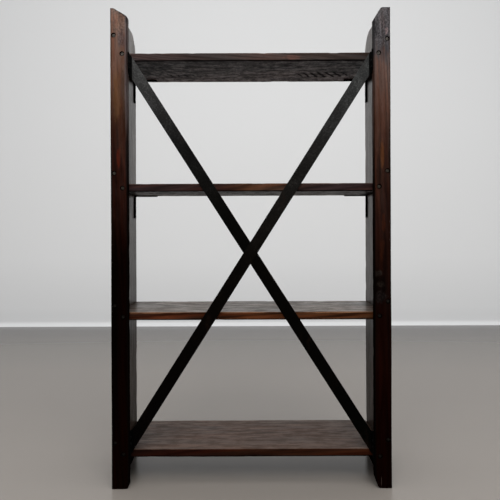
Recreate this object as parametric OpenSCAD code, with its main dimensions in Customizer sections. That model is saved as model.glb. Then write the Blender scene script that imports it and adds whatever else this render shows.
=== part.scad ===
// Open bookcase of reclaimed boards: four fixed shelves between two side panels, a stile
// screwed over each rear edge, and a crossed brace of flat bar between the stiles.
// The braced back faces -Y and the open front faces +Y. Left and right are as seen from
// the back. The origin is on the floor, in the middle of the footprint.

/* [Overall] */
// Width over the side panels
body_w = 700; // [560:1:1000]
// Height of the side panels and rear stiles
body_h = 1200; // [900:1:1500]

/* [Side panels] */
// Thickness of the side panels
panel_t = 18; // [15:0.5:26]
// Depth of the side panels, behind which the stiles add their own thickness
panel_d = 215; // [190:1:320]
// Radius of the upper front corner of the side panels
panel_corner_r = 60; // [10:1:90]
// Easing of the boards' front edges
front_edge_r = 2; // [0.5:0.5:4]
// Easing of the boards' other edges
edge_r = 1; // [0.5:0.5:2]

/* [Shelves] */
// Thickness of the shelves
shelf_t = 20.5; // [16:0.5:26]
// Height of the side panels above the top face of the top shelf
tray_h = 107; // [80:1:200]
// Height of the top face of the bottom shelf
bottom_shelf_z = 92; // [80:1:160]
// How far the upper shelf lies above an even spacing
upper_shelf_lift = 3.5; // [-40:0.5:40]
// How far the lower shelf lies above an even spacing
lower_shelf_lift = 12.5; // [-40:0.5:40]
// How far the lower shelf's front edge lies behind the others
lower_shelf_setback = 5; // [0:0.5:15]

/* [Rear stiles] */
// Width of the stiles, seen from the back
stile_w = 43; // [40:0.5:60]
// Thickness of the stiles, front to back
stile_t = 22; // [20:0.5:35]
// Rounding of the stiles' rear edges
stile_arris_r = 5; // [1:0.5:7]
// Width of the cut at the left stile's inner top corner
left_cut_w = 33; // [15:1:34]
// Depth of the cut at the left stile's inner top corner
left_cut_h = 21; // [12:1:40]
// Width of the cut at the right stile's inner top corner
right_cut_w = 19; // [12:1:34]
// Depth of the cut at the right stile's inner top corner
right_cut_h = 31; // [12:1:40]
// Rounding where the cuts meet the stiles' faces
cut_r = 8; // [1:1:10]
// Width of the wear at the left stile's inner foot
left_wear_w = 4; // [3:0.5:12]
// Height of the wear at the left stile's inner foot
left_wear_h = 8; // [5:1:40]
// Width of the wear at the right stile's inner foot
right_wear_w = 10; // [3:0.5:12]
// Height of the wear at the right stile's inner foot
right_wear_h = 27; // [5:1:40]
// Rounding of the wear
wear_r = 4; // [1:0.5:5]

/* [Brace] */
// Width of the flat bar
strap_w = 30; // [20:0.5:36]
// Thickness of the flat bar
strap_t = 3; // [2:0.1:4]
// Inner radius of the folds that turn the ends onto the stiles
fold_r = 2; // [1:0.5:3]
// Depth of the inner strap's centre at its upper fold, below the top shelf's top face
inner_strap_drop = 34; // [25:1:60]
// Height of the inner strap's centre at its lower fold, above the bottom shelf's top face
inner_strap_rise = 17; // [10:1:60]
// Depth of the outer strap's centre at its upper fold, below the top shelf's top face
outer_strap_drop = 28; // [25:1:60]
// Height of the outer strap's centre at its lower fold, above the bottom shelf's top face
outer_strap_rise = 22; // [10:1:60]
// How far the tabs stop short of the stiles' rear faces
tab_inset = 5; // [3:0.5:7]
// Height of the upper tabs' level cut above the strap's centre
upper_tab_cut = 33; // [30:1:45]
// Place of a tab's first screw, inwards from the middle of the tab
tab_screw_a = 18; // [14:0.5:21]
// Place of a tab's second screw, inwards from the middle of the tab
tab_screw_b = 2; // [0:0.5:6]
// Distance of the tab screws from the tabs' rear edges
tab_screw_inset = 5; // [4:0.5:7]

/* [Shelf brackets] */
// Length of each leg
bracket_leg = 64; // [45:1:90]
// Width of the brackets
bracket_w = 16; // [14:0.5:30]
// Thickness of the brackets
bracket_t = 2.5; // [2.2:0.1:4]
// Inner radius of the brackets' bend
bracket_bend_r = 1.5; // [1:0.5:4]
// Distance of the brackets from the front edges
bracket_inset = 14; // [5:1:60]
// Place of each leg's first screw, from the corner
bracket_screw_a = 22; // [16:1:30]
// Place of each leg's second screw, from the corner
bracket_screw_b = 52; // [38:1:58]

/* [Stile screws] */
// Diameter of the screws
stile_screw_d = 4.5; // [3.5:0.1:6]
// Length of the screws under the head
stile_screw_len = 60; // [40:1:70]
// Diameter of the screw heads
stile_head_d = 8.5; // [7:0.1:10]
// Height of the screw heads
stile_head_h = 3; // [2:0.1:4]
// Diameter of the counterbores
counterbore_d = 12; // [11:0.5:14]
// Depth of the counterbores
counterbore_h = 6; // [4:0.5:8]
// Heights of the screws into the left panel above each shelf, from the top down
left_panel_screw_rises = [39, 25, 19, 23]; // [15:1:40]
// Heights of the screws into the right panel above each shelf, from the top down
right_panel_screw_rises = [28, 29, 28, 29]; // [15:1:40]
// How far the screws into the shelves' left ends lie above the middle, from the top down
left_shelf_screw_lifts = [3, -2, 1, 5]; // [-5:0.5:5]
// How far the screws into the shelves' right ends lie above the middle, from the top down
right_shelf_screw_lifts = [3, 0, 2, -2]; // [-5:0.5:5]
// Distance of the screws into the shelves from the shelves' ends
shelf_screw_inset = 12; // [8:0.5:18]

/* [Small screws] */
// Diameter of the screws in the tabs and brackets
small_screw_d = 3.5; // [2.5:0.1:4]
// Diameter of their heads
small_head_d = 7; // [6:0.1:8]
// Height of the tab screws' heads
tab_head_h = 2.2; // [1.5:0.1:3]
// Length of the tab screws under the head
tab_screw_len = 16; // [10:1:20]
// Length of the bracket screws, head included
bracket_screw_len = 15; // [10:0.5:16]

/* [Dowels] */
// Diameter of the dowels in the ends of the two lower shelves
dowel_d = 8; // [5:0.5:10]
// Length of the dowels
dowel_len = 30; // [24:1:40]
// Depth of the dowels in the side panels
dowel_in_panel = 12; // [6:0.5:13]
// Distance of the rear dowels from the shelves' rear edges
dowel_rear_inset = 80; // [70:1:100]
// Distance of the front dowels from the panels' front edges
dowel_front_inset = 45; // [30:1:60]

/* [Fits] */
// Radial clearance round the screws and dowels
hole_clear = 0.15; // [0.1:0.01:0.4]
// Gap between the straps and what they lie against
strap_gap = 0.2; // [0.1:0.05:0.4]
// Free depth past the points of the screws and the ends of the dowels
end_clear = 0.5; // [0.3:0.1:1]

/* [Hidden] */

$fn = 40;
// Straight steps in each eased corner of an outline
corner_steps = 10;
// How far cuts and masks run past the faces they cross
over = 1;

stile_colour = [0.24, 0.13, 0.10];
panel_colour = [0.19, 0.11, 0.09];
shelf_colour = [0.22, 0.11, 0.09];
steel_colour = [0.12, 0.12, 0.13];
screw_colour = [0.42, 0.40, 0.39];
dowel_colour = [0.72, 0.58, 0.42];

// Planes that the pieces share
back_y = -(stile_t + panel_d) / 2;
seam_y = back_y + stile_t;
front_y = seam_y + panel_d;
side_x = body_w / 2;
bay_x = side_x - panel_t;
stile_x = side_x - stile_w;
top_shelf_z = body_h - tray_h;
shelf_pitch = (top_shelf_z - bottom_shelf_z) / 3;
upper_shelf_z = top_shelf_z - shelf_pitch + upper_shelf_lift;
lower_shelf_z = bottom_shelf_z + shelf_pitch + lower_shelf_lift;
shelf_zs = [top_shelf_z, upper_shelf_z, lower_shelf_z, bottom_shelf_z];
bracket_zs = [top_shelf_z - shelf_t, upper_shelf_z - shelf_t];
doweled_zs = [lower_shelf_z, bottom_shelf_z];

// Lines of the screws and dowels
panel_screw_x = side_x - panel_t / 2;
shelf_screw_x = bay_x - shelf_screw_inset;
left_panel_screw_zs = shelf_zs + left_panel_screw_rises;
right_panel_screw_zs = shelf_zs + right_panel_screw_rises;
left_shelf_screw_zs = [for (i = [0:3]) shelf_zs[i] - shelf_t / 2 + left_shelf_screw_lifts[i]];
right_shelf_screw_zs = [for (i = [0:3]) shelf_zs[i] - shelf_t / 2 + right_shelf_screw_lifts[i]];
stile_seat_y = back_y + counterbore_h;
stile_point_y = stile_seat_y + stile_screw_len;
bracket_y = front_y - bracket_inset - bracket_w / 2;
bracket_seat_x = bay_x - bracket_t;
bracket_screws = [bracket_screw_a, bracket_screw_b];
dowel_ys = [seam_y + dowel_rear_inset, front_y - dowel_front_inset];
dowel_chamfer = dowel_d / 8;

// The straps slope between the planes where their folds begin, and their folds are level
tab_x = stile_x - strap_gap;
tab_seat_x = tab_x - strap_t;
fold_x = tab_seat_x - fold_r;
tab_end_y = back_y + tab_inset;
tab_screw_y = tab_end_y + tab_screw_inset;
tab_screws = [tab_screw_a, tab_screw_b];
inner_strap_y = seam_y - strap_gap;
outer_strap_y = inner_strap_y - strap_t - strap_gap;

// A strap is given as [place of its front face, height at its upper fold, at its lower fold]
inner_strap = [inner_strap_y, top_shelf_z - inner_strap_drop, bottom_shelf_z + inner_strap_rise];
outer_strap = [outer_strap_y, top_shelf_z - outer_strap_drop, bottom_shelf_z + outer_strap_rise];

function unit(v) = v / norm(v);

// Arc of radius r in the corner p, between the directions of a and b
function corner_arc(p, a, b, r) =
    let (u = unit(a - p), v = unit(b - p), half = acos(u * v) / 2)
    let (c = p + unit(u + v) * r / sin(half))
    let (from = p + u * r / tan(half) - c, to = p + v * r / tan(half) - c)
    let (start = atan2(from[1], from[0]), turn = atan2(cross(from, to), from * to))
    [for (i = [0:corner_steps]) let (angle = start + turn * i / corner_steps)
        c + r * [cos(angle), sin(angle)]];

// Outline through corners given as [x, y, radius]
function eased(corners) =
    let (n = len(corners), at = [for (q = corners) [q[0], q[1]]])
    [for (i = [0:n - 1]) each corners[i][2] > 0
        ? corner_arc(at[i], at[(i + n - 1) % n], at[(i + 1) % n], corners[i][2])
        : [at[i]]];

function slope(strap) = (strap[1] - strap[2]) / (2 * fold_x);
function half_h(strap) = strap_w / 2 * sqrt(1 + pow(slope(strap), 2));

// Plane where a strap's folds end and its tabs begin
function fold_y(strap) = strap[0] - strap_t - fold_r;

// How far the middle of a tab has moved up or down at the plane y
function tab_shift(strap, y) = slope(strap) * (fold_y(strap) - y);

// Turns the right half's pieces into the left half's
module left() { mirror([1, 0, 0]) children(); }

module both_sides() {
    children();
    left() children();
}

// Turns a shape drawn along +Z to run along +Y or +X
module along_y() { rotate([-90, 0, 0]) children(); }
module along_x() { rotate([0, 90, 0]) children(); }

// Extrudes an outline drawn in X and Z between the planes y0 and y1
module extrude_xz(y0, y1) {
    translate([0, y1, 0]) rotate([90, 0, 0]) linear_extrude(height = y1 - y0) children();
}

// Extrudes an outline drawn in Y and Z between the planes x0 and x1
module extrude_yz(x0, x1) {
    translate([x0, 0, 0]) rotate([90, 0, 90]) linear_extrude(height = x1 - x0) children();
}

// Extrudes a plan past the foot and the top of the bookcase
module extrude_plan() {
    translate([0, 0, -over]) linear_extrude(height = body_h + 2 * over) children();
}

// Screws lie along +Z, with the plane that the head is set on at zero
module cross_recess(head_d) {
    long = head_d * 0.6;
    wide = head_d * 0.16;
    for (angle = [0, 90])
        rotate(angle) translate([-long / 2, -wide / 2, -over]) cube([long, wide, head_d * 0.18 + over]);
}

module shank(d, length) {
    cylinder(d = d, h = length - d);
    translate([0, 0, length - d]) cylinder(d1 = d, d2 = d / 6, h = d);
}

module pan_screw(d, length, head_d, head_h) {
    difference() {
        union() {
            translate([0, 0, -head_h]) cylinder(d1 = head_d * 0.75, d2 = head_d, h = head_h / 2);
            translate([0, 0, -head_h / 2]) cylinder(d = head_d, h = head_h / 2);
            shank(d, length);
        }
        translate([0, 0, -head_h]) cross_recess(head_d);
    }
}

module bracket_screw() {
    difference() {
        union() {
            cylinder(d1 = small_head_d, d2 = small_screw_d, h = (small_head_d - small_screw_d) / 2);
            shank(small_screw_d, bracket_screw_len);
        }
        cross_recess(small_head_d);
    }
}

// Round hole along +Z for a screw or dowel, entered from the plane at zero
module hole(d, depth) {
    translate([0, 0, -over]) cylinder(d = d + 2 * hole_clear, h = depth + end_clear + over);
}

// Hole in a bracket's leg, with the seat of the screw's head
module countersunk_hole() {
    hole(small_screw_d, bracket_t);
    translate([0, 0, -over]) cylinder(d = small_head_d + 2 * hole_clear, h = over);
    cylinder(
        d1 = small_head_d + 2 * hole_clear, d2 = small_screw_d + 2 * hole_clear,
        h = (small_head_d - small_screw_d) / 2
    );
}

module counterbored_hole() {
    translate([0, 0, -over]) cylinder(d = counterbore_d, h = counterbore_h + over);
    hole(stile_screw_d, stile_t);
}

// Children at the right stile's screws, along +Y from the plane y, at the heights zs
module at_panel_screws(y, zs) {
    for (z = zs) translate([panel_screw_x, y, z]) along_y() children();
}

module at_shelf_screws(y, zs) {
    for (z = zs) translate([shelf_screw_x, y, z]) along_y() children();
}

// Children at the screws of one strap, which rises to the right, along its tabs' normals
module at_tab_screws(strap) {
    shift = tab_shift(strap, tab_screw_y);
    for (s = tab_screws) {
        translate([tab_seat_x, tab_screw_y, strap[1] + shift - s]) along_x() children();
        left() translate([tab_seat_x, tab_screw_y, strap[2] - shift + s]) along_x() children();
    }
}

// The outer strap rises to the right and the inner strap to the left
module at_brace_screws() {
    at_tab_screws(outer_strap) children();
    left() at_tab_screws(inner_strap) children();
}

// Children at the screws of the right brackets' upright legs, under shelf undersides zs
module at_upright_screws(zs) {
    for (z = zs) for (s = bracket_screws)
        translate([bracket_seat_x, bracket_y, z - s]) along_x() children();
}

// Children at the screws of the right brackets' level legs, under shelf undersides zs
module at_level_screws(zs) {
    for (z = zs) for (s = bracket_screws) translate([bay_x - s, bracket_y, z - bracket_t]) children();
}

// Children at the inner ends of the dowels in the right end of a shelf
module at_dowels(z) {
    for (y = dowel_ys)
        translate([bay_x + dowel_in_panel - dowel_len, y, z - shelf_t / 2]) along_x() children();
}

module dowel() {
    cylinder(d1 = dowel_d - 2 * dowel_chamfer, d2 = dowel_d, h = dowel_chamfer);
    translate([0, 0, dowel_chamfer]) cylinder(d = dowel_d, h = dowel_len - 2 * dowel_chamfer);
    translate([0, 0, dowel_len - dowel_chamfer])
        cylinder(d1 = dowel_d, d2 = dowel_d - 2 * dowel_chamfer, h = dowel_chamfer);
}

module dowel_hole() {
    translate([0, 0, over - end_clear]) hole(dowel_d, dowel_len + end_clear - over);
}

// Side panel on the right, with holes for its screws at the heights screw_zs
module side_panel(screw_zs) {
    difference() {
        intersection() {
            extrude_yz(bay_x - over, side_x + over) polygon(eased([
                [seam_y, 0, edge_r], [front_y, 0, front_edge_r],
                [front_y, body_h, panel_corner_r], [seam_y, body_h, edge_r]
            ]));
            extrude_plan() polygon(eased([
                [bay_x, seam_y, 0], [side_x, seam_y, 0],
                [side_x, front_y, front_edge_r], [bay_x, front_y, front_edge_r]
            ]));
        }
        at_panel_screws(seam_y, screw_zs) hole(stile_screw_d, stile_point_y - seam_y);
        at_upright_screws(bracket_zs) hole(small_screw_d, bracket_screw_len);
        for (z = doweled_zs) at_dowels(z) dowel_hole();
    }
}

module left_side_panel() { color(panel_colour) left() side_panel(left_panel_screw_zs); }
module right_side_panel() { color(panel_colour) side_panel(right_panel_screw_zs); }

// Stile on the right before its tab screws, with the cut of its top and the wear of its foot
module stile(cut_w, cut_h, wear_w, wear_h, panel_screw_zs, shelf_screw_zs) {
    difference() {
        intersection() {
            extrude_xz(back_y - over, seam_y + over) polygon(eased([
                [side_x, 0, front_edge_r], [side_x, body_h, front_edge_r],
                [stile_x + cut_w, body_h, cut_r], [stile_x, body_h - cut_h, cut_r],
                [stile_x, wear_h, wear_r], [stile_x + wear_w, 0, wear_r]
            ]));
            extrude_plan() polygon(eased([
                [stile_x, back_y, stile_arris_r], [side_x, back_y, stile_arris_r],
                [side_x, seam_y, edge_r], [stile_x, seam_y, edge_r]
            ]));
        }
        at_panel_screws(back_y, panel_screw_zs) counterbored_hole();
        at_shelf_screws(back_y, shelf_screw_zs) counterbored_hole();
    }
}

module left_rear_stile() {
    color(stile_colour) difference() {
        left() stile(
            left_cut_w, left_cut_h, left_wear_w, left_wear_h, left_panel_screw_zs, left_shelf_screw_zs
        );
        at_brace_screws() hole(small_screw_d, tab_screw_len);
    }
}

module right_rear_stile() {
    color(stile_colour) difference() {
        stile(
            right_cut_w, right_cut_h, right_wear_w, right_wear_h, right_panel_screw_zs,
            right_shelf_screw_zs
        );
        at_brace_screws() hole(small_screw_d, tab_screw_len);
    }
}

// Shelf number i from the top, its front edge set back, with brackets or dowels at its ends
module shelf(i, setback, bracketed) {
    z = shelf_zs[i];
    difference() {
        extrude_yz(-bay_x, bay_x) polygon(eased([
            [seam_y, z - shelf_t, edge_r], [front_y - setback, z - shelf_t, front_edge_r],
            [front_y - setback, z, front_edge_r], [seam_y, z, edge_r]
        ]));
        left() at_shelf_screws(seam_y, [left_shelf_screw_zs[i]])
            hole(stile_screw_d, stile_point_y - seam_y);
        at_shelf_screws(seam_y, [right_shelf_screw_zs[i]]) hole(stile_screw_d, stile_point_y - seam_y);
        both_sides() {
            if (bracketed) at_level_screws([z - shelf_t]) hole(small_screw_d, bracket_screw_len);
            else at_dowels(z) dowel_hole();
        }
    }
}

module top_shelf() { color(shelf_colour) shelf(0, 0, true); }
module upper_shelf() { color(shelf_colour) shelf(1, 0, true); }
module lower_shelf() { color(shelf_colour) shelf(2, lower_shelf_setback, false); }
module bottom_shelf() { color(shelf_colour) shelf(3, 0, false); }

// Plan of a strap with its front face at y: a bar with both ends folded back into tabs
module strap_plan(y) {
    polygon(eased([
        [tab_x, tab_end_y, 0], [tab_x, y, fold_r + strap_t],
        [-tab_x, y, fold_r + strap_t], [-tab_x, tab_end_y, 0],
        [-tab_seat_x, tab_end_y, 0], [-tab_seat_x, y - strap_t, fold_r],
        [tab_seat_x, y - strap_t, fold_r], [tab_seat_x, tab_end_y, 0]
    ]));
}

// Outline of a strap's sloping bar and its level folds in X and Z
module bar_outline(strap) {
    end_x = tab_x + over;
    top_z = strap[1];
    low_z = strap[2];
    h = half_h(strap);
    polygon([
        [-end_x, low_z - h], [-fold_x, low_z - h], [fold_x, top_z - h], [end_x, top_z - h],
        [end_x, top_z + h], [fold_x, top_z + h], [-fold_x, low_z + h], [-end_x, low_z + h]
    ]);
}

// Outline of a tab in Y and in height outwards from the strap's centre at the fold, which
// keeps the bar's slope and may end in a level cut
module tab_outline(strap, cut) {
    end_y = tab_end_y - over;
    start_y = fold_y(strap);
    shift = tab_shift(strap, end_y);
    h = half_h(strap);
    intersection() {
        polygon([[start_y, -h], [end_y, -h + shift], [end_y, h + shift], [start_y, h]]);
        translate([end_y, -h]) square([start_y - end_y, h + cut]);
    }
}

// Strap that rises to the right
module rising_strap(strap) {
    difference() {
        intersection() {
            linear_extrude(height = body_h) strap_plan(strap[0]);
            union() {
                extrude_xz(fold_y(strap), strap[0] + over) bar_outline(strap);
                extrude_yz(tab_seat_x - over, tab_x + over)
                    translate([0, strap[1]]) tab_outline(strap, upper_tab_cut);
                extrude_yz(-tab_x - over, -tab_seat_x + over)
                    translate([0, strap[2]]) mirror([0, 1]) tab_outline(strap, strap[2]);
            }
        }
        at_tab_screws(strap) hole(small_screw_d, strap_t);
    }
}

module inner_brace_strap() { color(steel_colour) left() rising_strap(inner_strap); }
module outer_brace_strap() { color(steel_colour) rising_strap(outer_strap); }

// Bracket on the right, in the corner under a shelf underside at z
module bracket(z) {
    color(steel_colour) difference() {
        extrude_xz(bracket_y - bracket_w / 2, bracket_y + bracket_w / 2) polygon(eased([
            [bay_x, z - bracket_leg, 0], [bay_x, z, bracket_bend_r + bracket_t],
            [bay_x - bracket_leg, z, 0], [bay_x - bracket_leg, z - bracket_t, 0],
            [bracket_seat_x, z - bracket_t, bracket_bend_r], [bracket_seat_x, z - bracket_leg, 0]
        ]));
        at_upright_screws([z]) countersunk_hole();
        at_level_screws([z]) countersunk_hole();
    }
}

module top_left_bracket() { left() bracket(bracket_zs[0]); }
module top_right_bracket() { bracket(bracket_zs[0]); }
module upper_left_bracket() { left() bracket(bracket_zs[1]); }
module upper_right_bracket() { bracket(bracket_zs[1]); }

module stile_screw() {
    color(screw_colour) pan_screw(stile_screw_d, stile_screw_len, stile_head_d, stile_head_h);
}

module tab_screw() {
    color(screw_colour) pan_screw(small_screw_d, tab_screw_len, small_head_d, tab_head_h);
}

module left_stile_panel_screws() {
    left() at_panel_screws(stile_seat_y, left_panel_screw_zs) stile_screw();
}

module right_stile_panel_screws() { at_panel_screws(stile_seat_y, right_panel_screw_zs) stile_screw(); }

module left_stile_shelf_screws() {
    left() at_shelf_screws(stile_seat_y, left_shelf_screw_zs) stile_screw();
}

module right_stile_shelf_screws() { at_shelf_screws(stile_seat_y, right_shelf_screw_zs) stile_screw(); }
module inner_brace_screws() { left() at_tab_screws(inner_strap) tab_screw(); }
module outer_brace_screws() { at_tab_screws(outer_strap) tab_screw(); }

module bracket_panel_screws() {
    color(screw_colour) both_sides() at_upright_screws(bracket_zs) bracket_screw();
}

module bracket_shelf_screws() {
    color(screw_colour) both_sides() at_level_screws(bracket_zs) bracket_screw();
}

module lower_shelf_dowels() { color(dowel_colour) both_sides() at_dowels(lower_shelf_z) dowel(); }
module bottom_shelf_dowels() { color(dowel_colour) both_sides() at_dowels(bottom_shelf_z) dowel(); }

left_side_panel();
right_side_panel();
left_rear_stile();
right_rear_stile();
top_shelf();
upper_shelf();
lower_shelf();
bottom_shelf();
inner_brace_strap();
outer_brace_strap();
top_left_bracket();
top_right_bracket();
upper_left_bracket();
upper_right_bracket();
left_stile_panel_screws();
right_stile_panel_screws();
left_stile_shelf_screws();
right_stile_shelf_screws();
inner_brace_screws();
outer_brace_screws();
bracket_panel_screws();
bracket_shelf_screws();
lower_shelf_dowels();
bottom_shelf_dowels();
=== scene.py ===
"""Finished look of an open bookcase of reclaimed boards, seen from its braced back.

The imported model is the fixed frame: it gives every board, strap, bracket and screw its
place. The boards and the straps are dressed here with closed skins worked out with numpy,
and the brackets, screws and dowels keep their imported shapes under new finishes. Sizes are
in metres. The braced back faces -Y, the open front +Y, and the floor is at zero.
"""

import logging
import math
from dataclasses import dataclass
from enum import Enum
from typing import Any

import bpy
import numpy as np
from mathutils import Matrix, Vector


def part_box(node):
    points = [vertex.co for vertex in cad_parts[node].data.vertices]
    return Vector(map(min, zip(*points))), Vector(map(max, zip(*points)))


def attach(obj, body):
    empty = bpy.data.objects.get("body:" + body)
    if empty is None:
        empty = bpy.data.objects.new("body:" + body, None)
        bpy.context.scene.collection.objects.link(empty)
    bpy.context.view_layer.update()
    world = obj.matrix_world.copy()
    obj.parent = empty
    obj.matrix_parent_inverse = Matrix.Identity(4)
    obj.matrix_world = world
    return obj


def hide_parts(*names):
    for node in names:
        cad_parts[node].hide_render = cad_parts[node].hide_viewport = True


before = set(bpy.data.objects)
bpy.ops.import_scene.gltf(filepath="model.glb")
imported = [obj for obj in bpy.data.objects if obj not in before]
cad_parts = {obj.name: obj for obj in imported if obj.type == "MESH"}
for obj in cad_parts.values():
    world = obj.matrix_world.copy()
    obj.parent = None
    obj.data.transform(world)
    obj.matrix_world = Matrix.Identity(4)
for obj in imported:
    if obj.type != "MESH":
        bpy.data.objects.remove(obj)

LOG = logging.getLogger("bookcase")
Array = np.ndarray
Pair = tuple[float, float]
Place = tuple[float, float, float]
Colour = tuple[int, int, int]
Shades = tuple[tuple[float, Colour], ...]
Socket = bpy.types.NodeSocket
BODY = "root"
SHELVES = ("top_shelf", "upper_shelf", "lower_shelf", "bottom_shelf")
X, Y, Z = 0, 1, 2
# Distance under which two places count as the same
HAIR = 1e-6
# Wave lengths, along a board and across it, of its long hollows and of its nicks
LONG_WAVES: Pair = (0.32, 0.06)
SHORT_WAVES: Pair = (0.05, 0.02)


class Grain(Enum):
    """Direction of a board's fibres."""

    UPRIGHT = "Z"
    LEVEL = "X"


class Side(Enum):
    """Side of the bookcase, seen from its back."""

    LEFT = -1
    RIGHT = 1


def linear(colour: Colour) -> tuple[float, float, float, float]:
    """Turns a colour of 0 to 255 steps, as a screen shows it, into linear light.

    Args:
        colour: Red, green and blue, 0 to 255.

    Returns:
        Red, green, blue and an alpha of one, as a shader socket takes them.
    """
    parts = [c / 255 for c in colour]
    light = [c / 12.92 if c <= 0.04045 else ((c + 0.055) / 1.055) ** 2.4 for c in parts]
    return (light[0], light[1], light[2], 1.0)


def node_box(node: str) -> tuple[Array, Array]:
    """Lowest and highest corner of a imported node."""
    low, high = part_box(node)
    return np.array(low), np.array(high)


def middle(node: str) -> Place:
    """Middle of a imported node's box."""
    low, high = node_box(node)
    return tuple(float(place) for place in (low + high) / 2)


def ripple(points: Array, lengths: Pair, along: int, seed: int, waves: int = 12) -> Array:
    """Smooth random field of a few sine waves.

    Each wave is sin(k . p + phase), where k is a random direction divided by the wave
    lengths. The waves are added and scaled to lie mostly between -1 and 1.

    Args:
        points: Places of shape (n, 3).
        lengths: Rough wave lengths along the board and across it.
        along: Axis of the board's length.
        seed: Number that fixes the waves.
        waves: How many waves are added.

    Returns:
        One value for each point.
    """
    rng = np.random.default_rng(seed)
    scale = np.where(np.arange(3) == along, *lengths)
    turns = rng.normal(size=(waves, 3)) / scale * math.pi
    phases = rng.uniform(0, 2 * math.pi, waves)
    return np.sin(points @ turns.T + phases).sum(axis=1) / math.sqrt(waves)


def arc_lines(radius: float, count: int = 4) -> Array:
    """Distances from a face at which lines turn into even steps round its eased edge.

    They are radius * (1 - tan(angle)), for even angles from 45 degrees down to none.

    Args:
        radius: Radius of the edge.
        count: How many lines there are.

    Returns:
        The distances, from none to the radius.
    """
    return radius * (1 - np.tan(np.linspace(math.pi / 4, 0, count)))


def ruled(low: float, high: float, step: float, radius: float, at_low: bool = True,
          at_high: bool = True) -> Array:
    """Lines across one axis of a board: arc_lines in its edges and even ones between.

    Args:
        low: Lower face.
        high: Upper face.
        step: Widest spacing between the edges.
        radius: Radius of the eased edges.
        at_low: Whether the lower edge gets its lines.
        at_high: Whether the upper edge gets its lines.

    Returns:
        The lines in rising order.
    """
    edge = arc_lines(radius)[:-1]
    count = max(2, int(math.ceil((high - low - 2 * radius) / step)) + 1)
    between = np.linspace(low + radius, high - radius, count)
    first = low + edge if at_low else edge[:0]
    last = high - edge[::-1] if at_high else edge[:0]
    return np.concatenate([first, between, last])


def merged(*lines: Array, gap: float = 0.0001) -> Array:
    """Joins sets of lines in rising order and drops those closer than gap."""
    joined = np.sort(np.concatenate(lines))
    return joined[np.concatenate([[True], np.diff(joined) > gap])]


def cut_profile(run: float, rise: float, radius: float, count: int = 9) -> tuple[Array, Array]:
    """Height that a sloping cut takes off a board's end, with both its corners eased.

    The cut is a straight line from (0, rise) to (run, 0). Each corner is an arc that
    touches its two lines, sampled at even angles.

    Args:
        run: Width of the cut from the board's side.
        rise: Height of the cut down the board's side.
        radius: Radius of both corners.
        count: Points on each arc.

    Returns:
        Distances from the side, and the height taken off at each.
    """
    slope = np.array([run, -rise]) / math.hypot(run, rise)
    spans, drops = [], []
    for corner, before, after in (
        (np.array([0.0, rise]), np.array([0.0, 1.0]), slope),
        (np.array([run, 0.0]), -slope, np.array([1.0, 0.0])),
    ):
        half = math.acos(float(before @ after)) / 2
        inwards = (before + after) / np.linalg.norm(before + after)
        centre = corner + inwards * radius / math.sin(half)
        first = corner + before * radius / math.tan(half) - centre
        last = corner + after * radius / math.tan(half) - centre
        start = math.atan2(first[1], first[0])
        turn = math.atan2(first[0] * last[1] - first[1] * last[0], float(first @ last))
        angles = start + turn * np.linspace(0, 1, count)
        spans.append(centre[0] + radius * np.cos(angles))
        drops.append(centre[1] + radius * np.sin(angles))
    return np.concatenate(spans), np.concatenate(drops)


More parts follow.
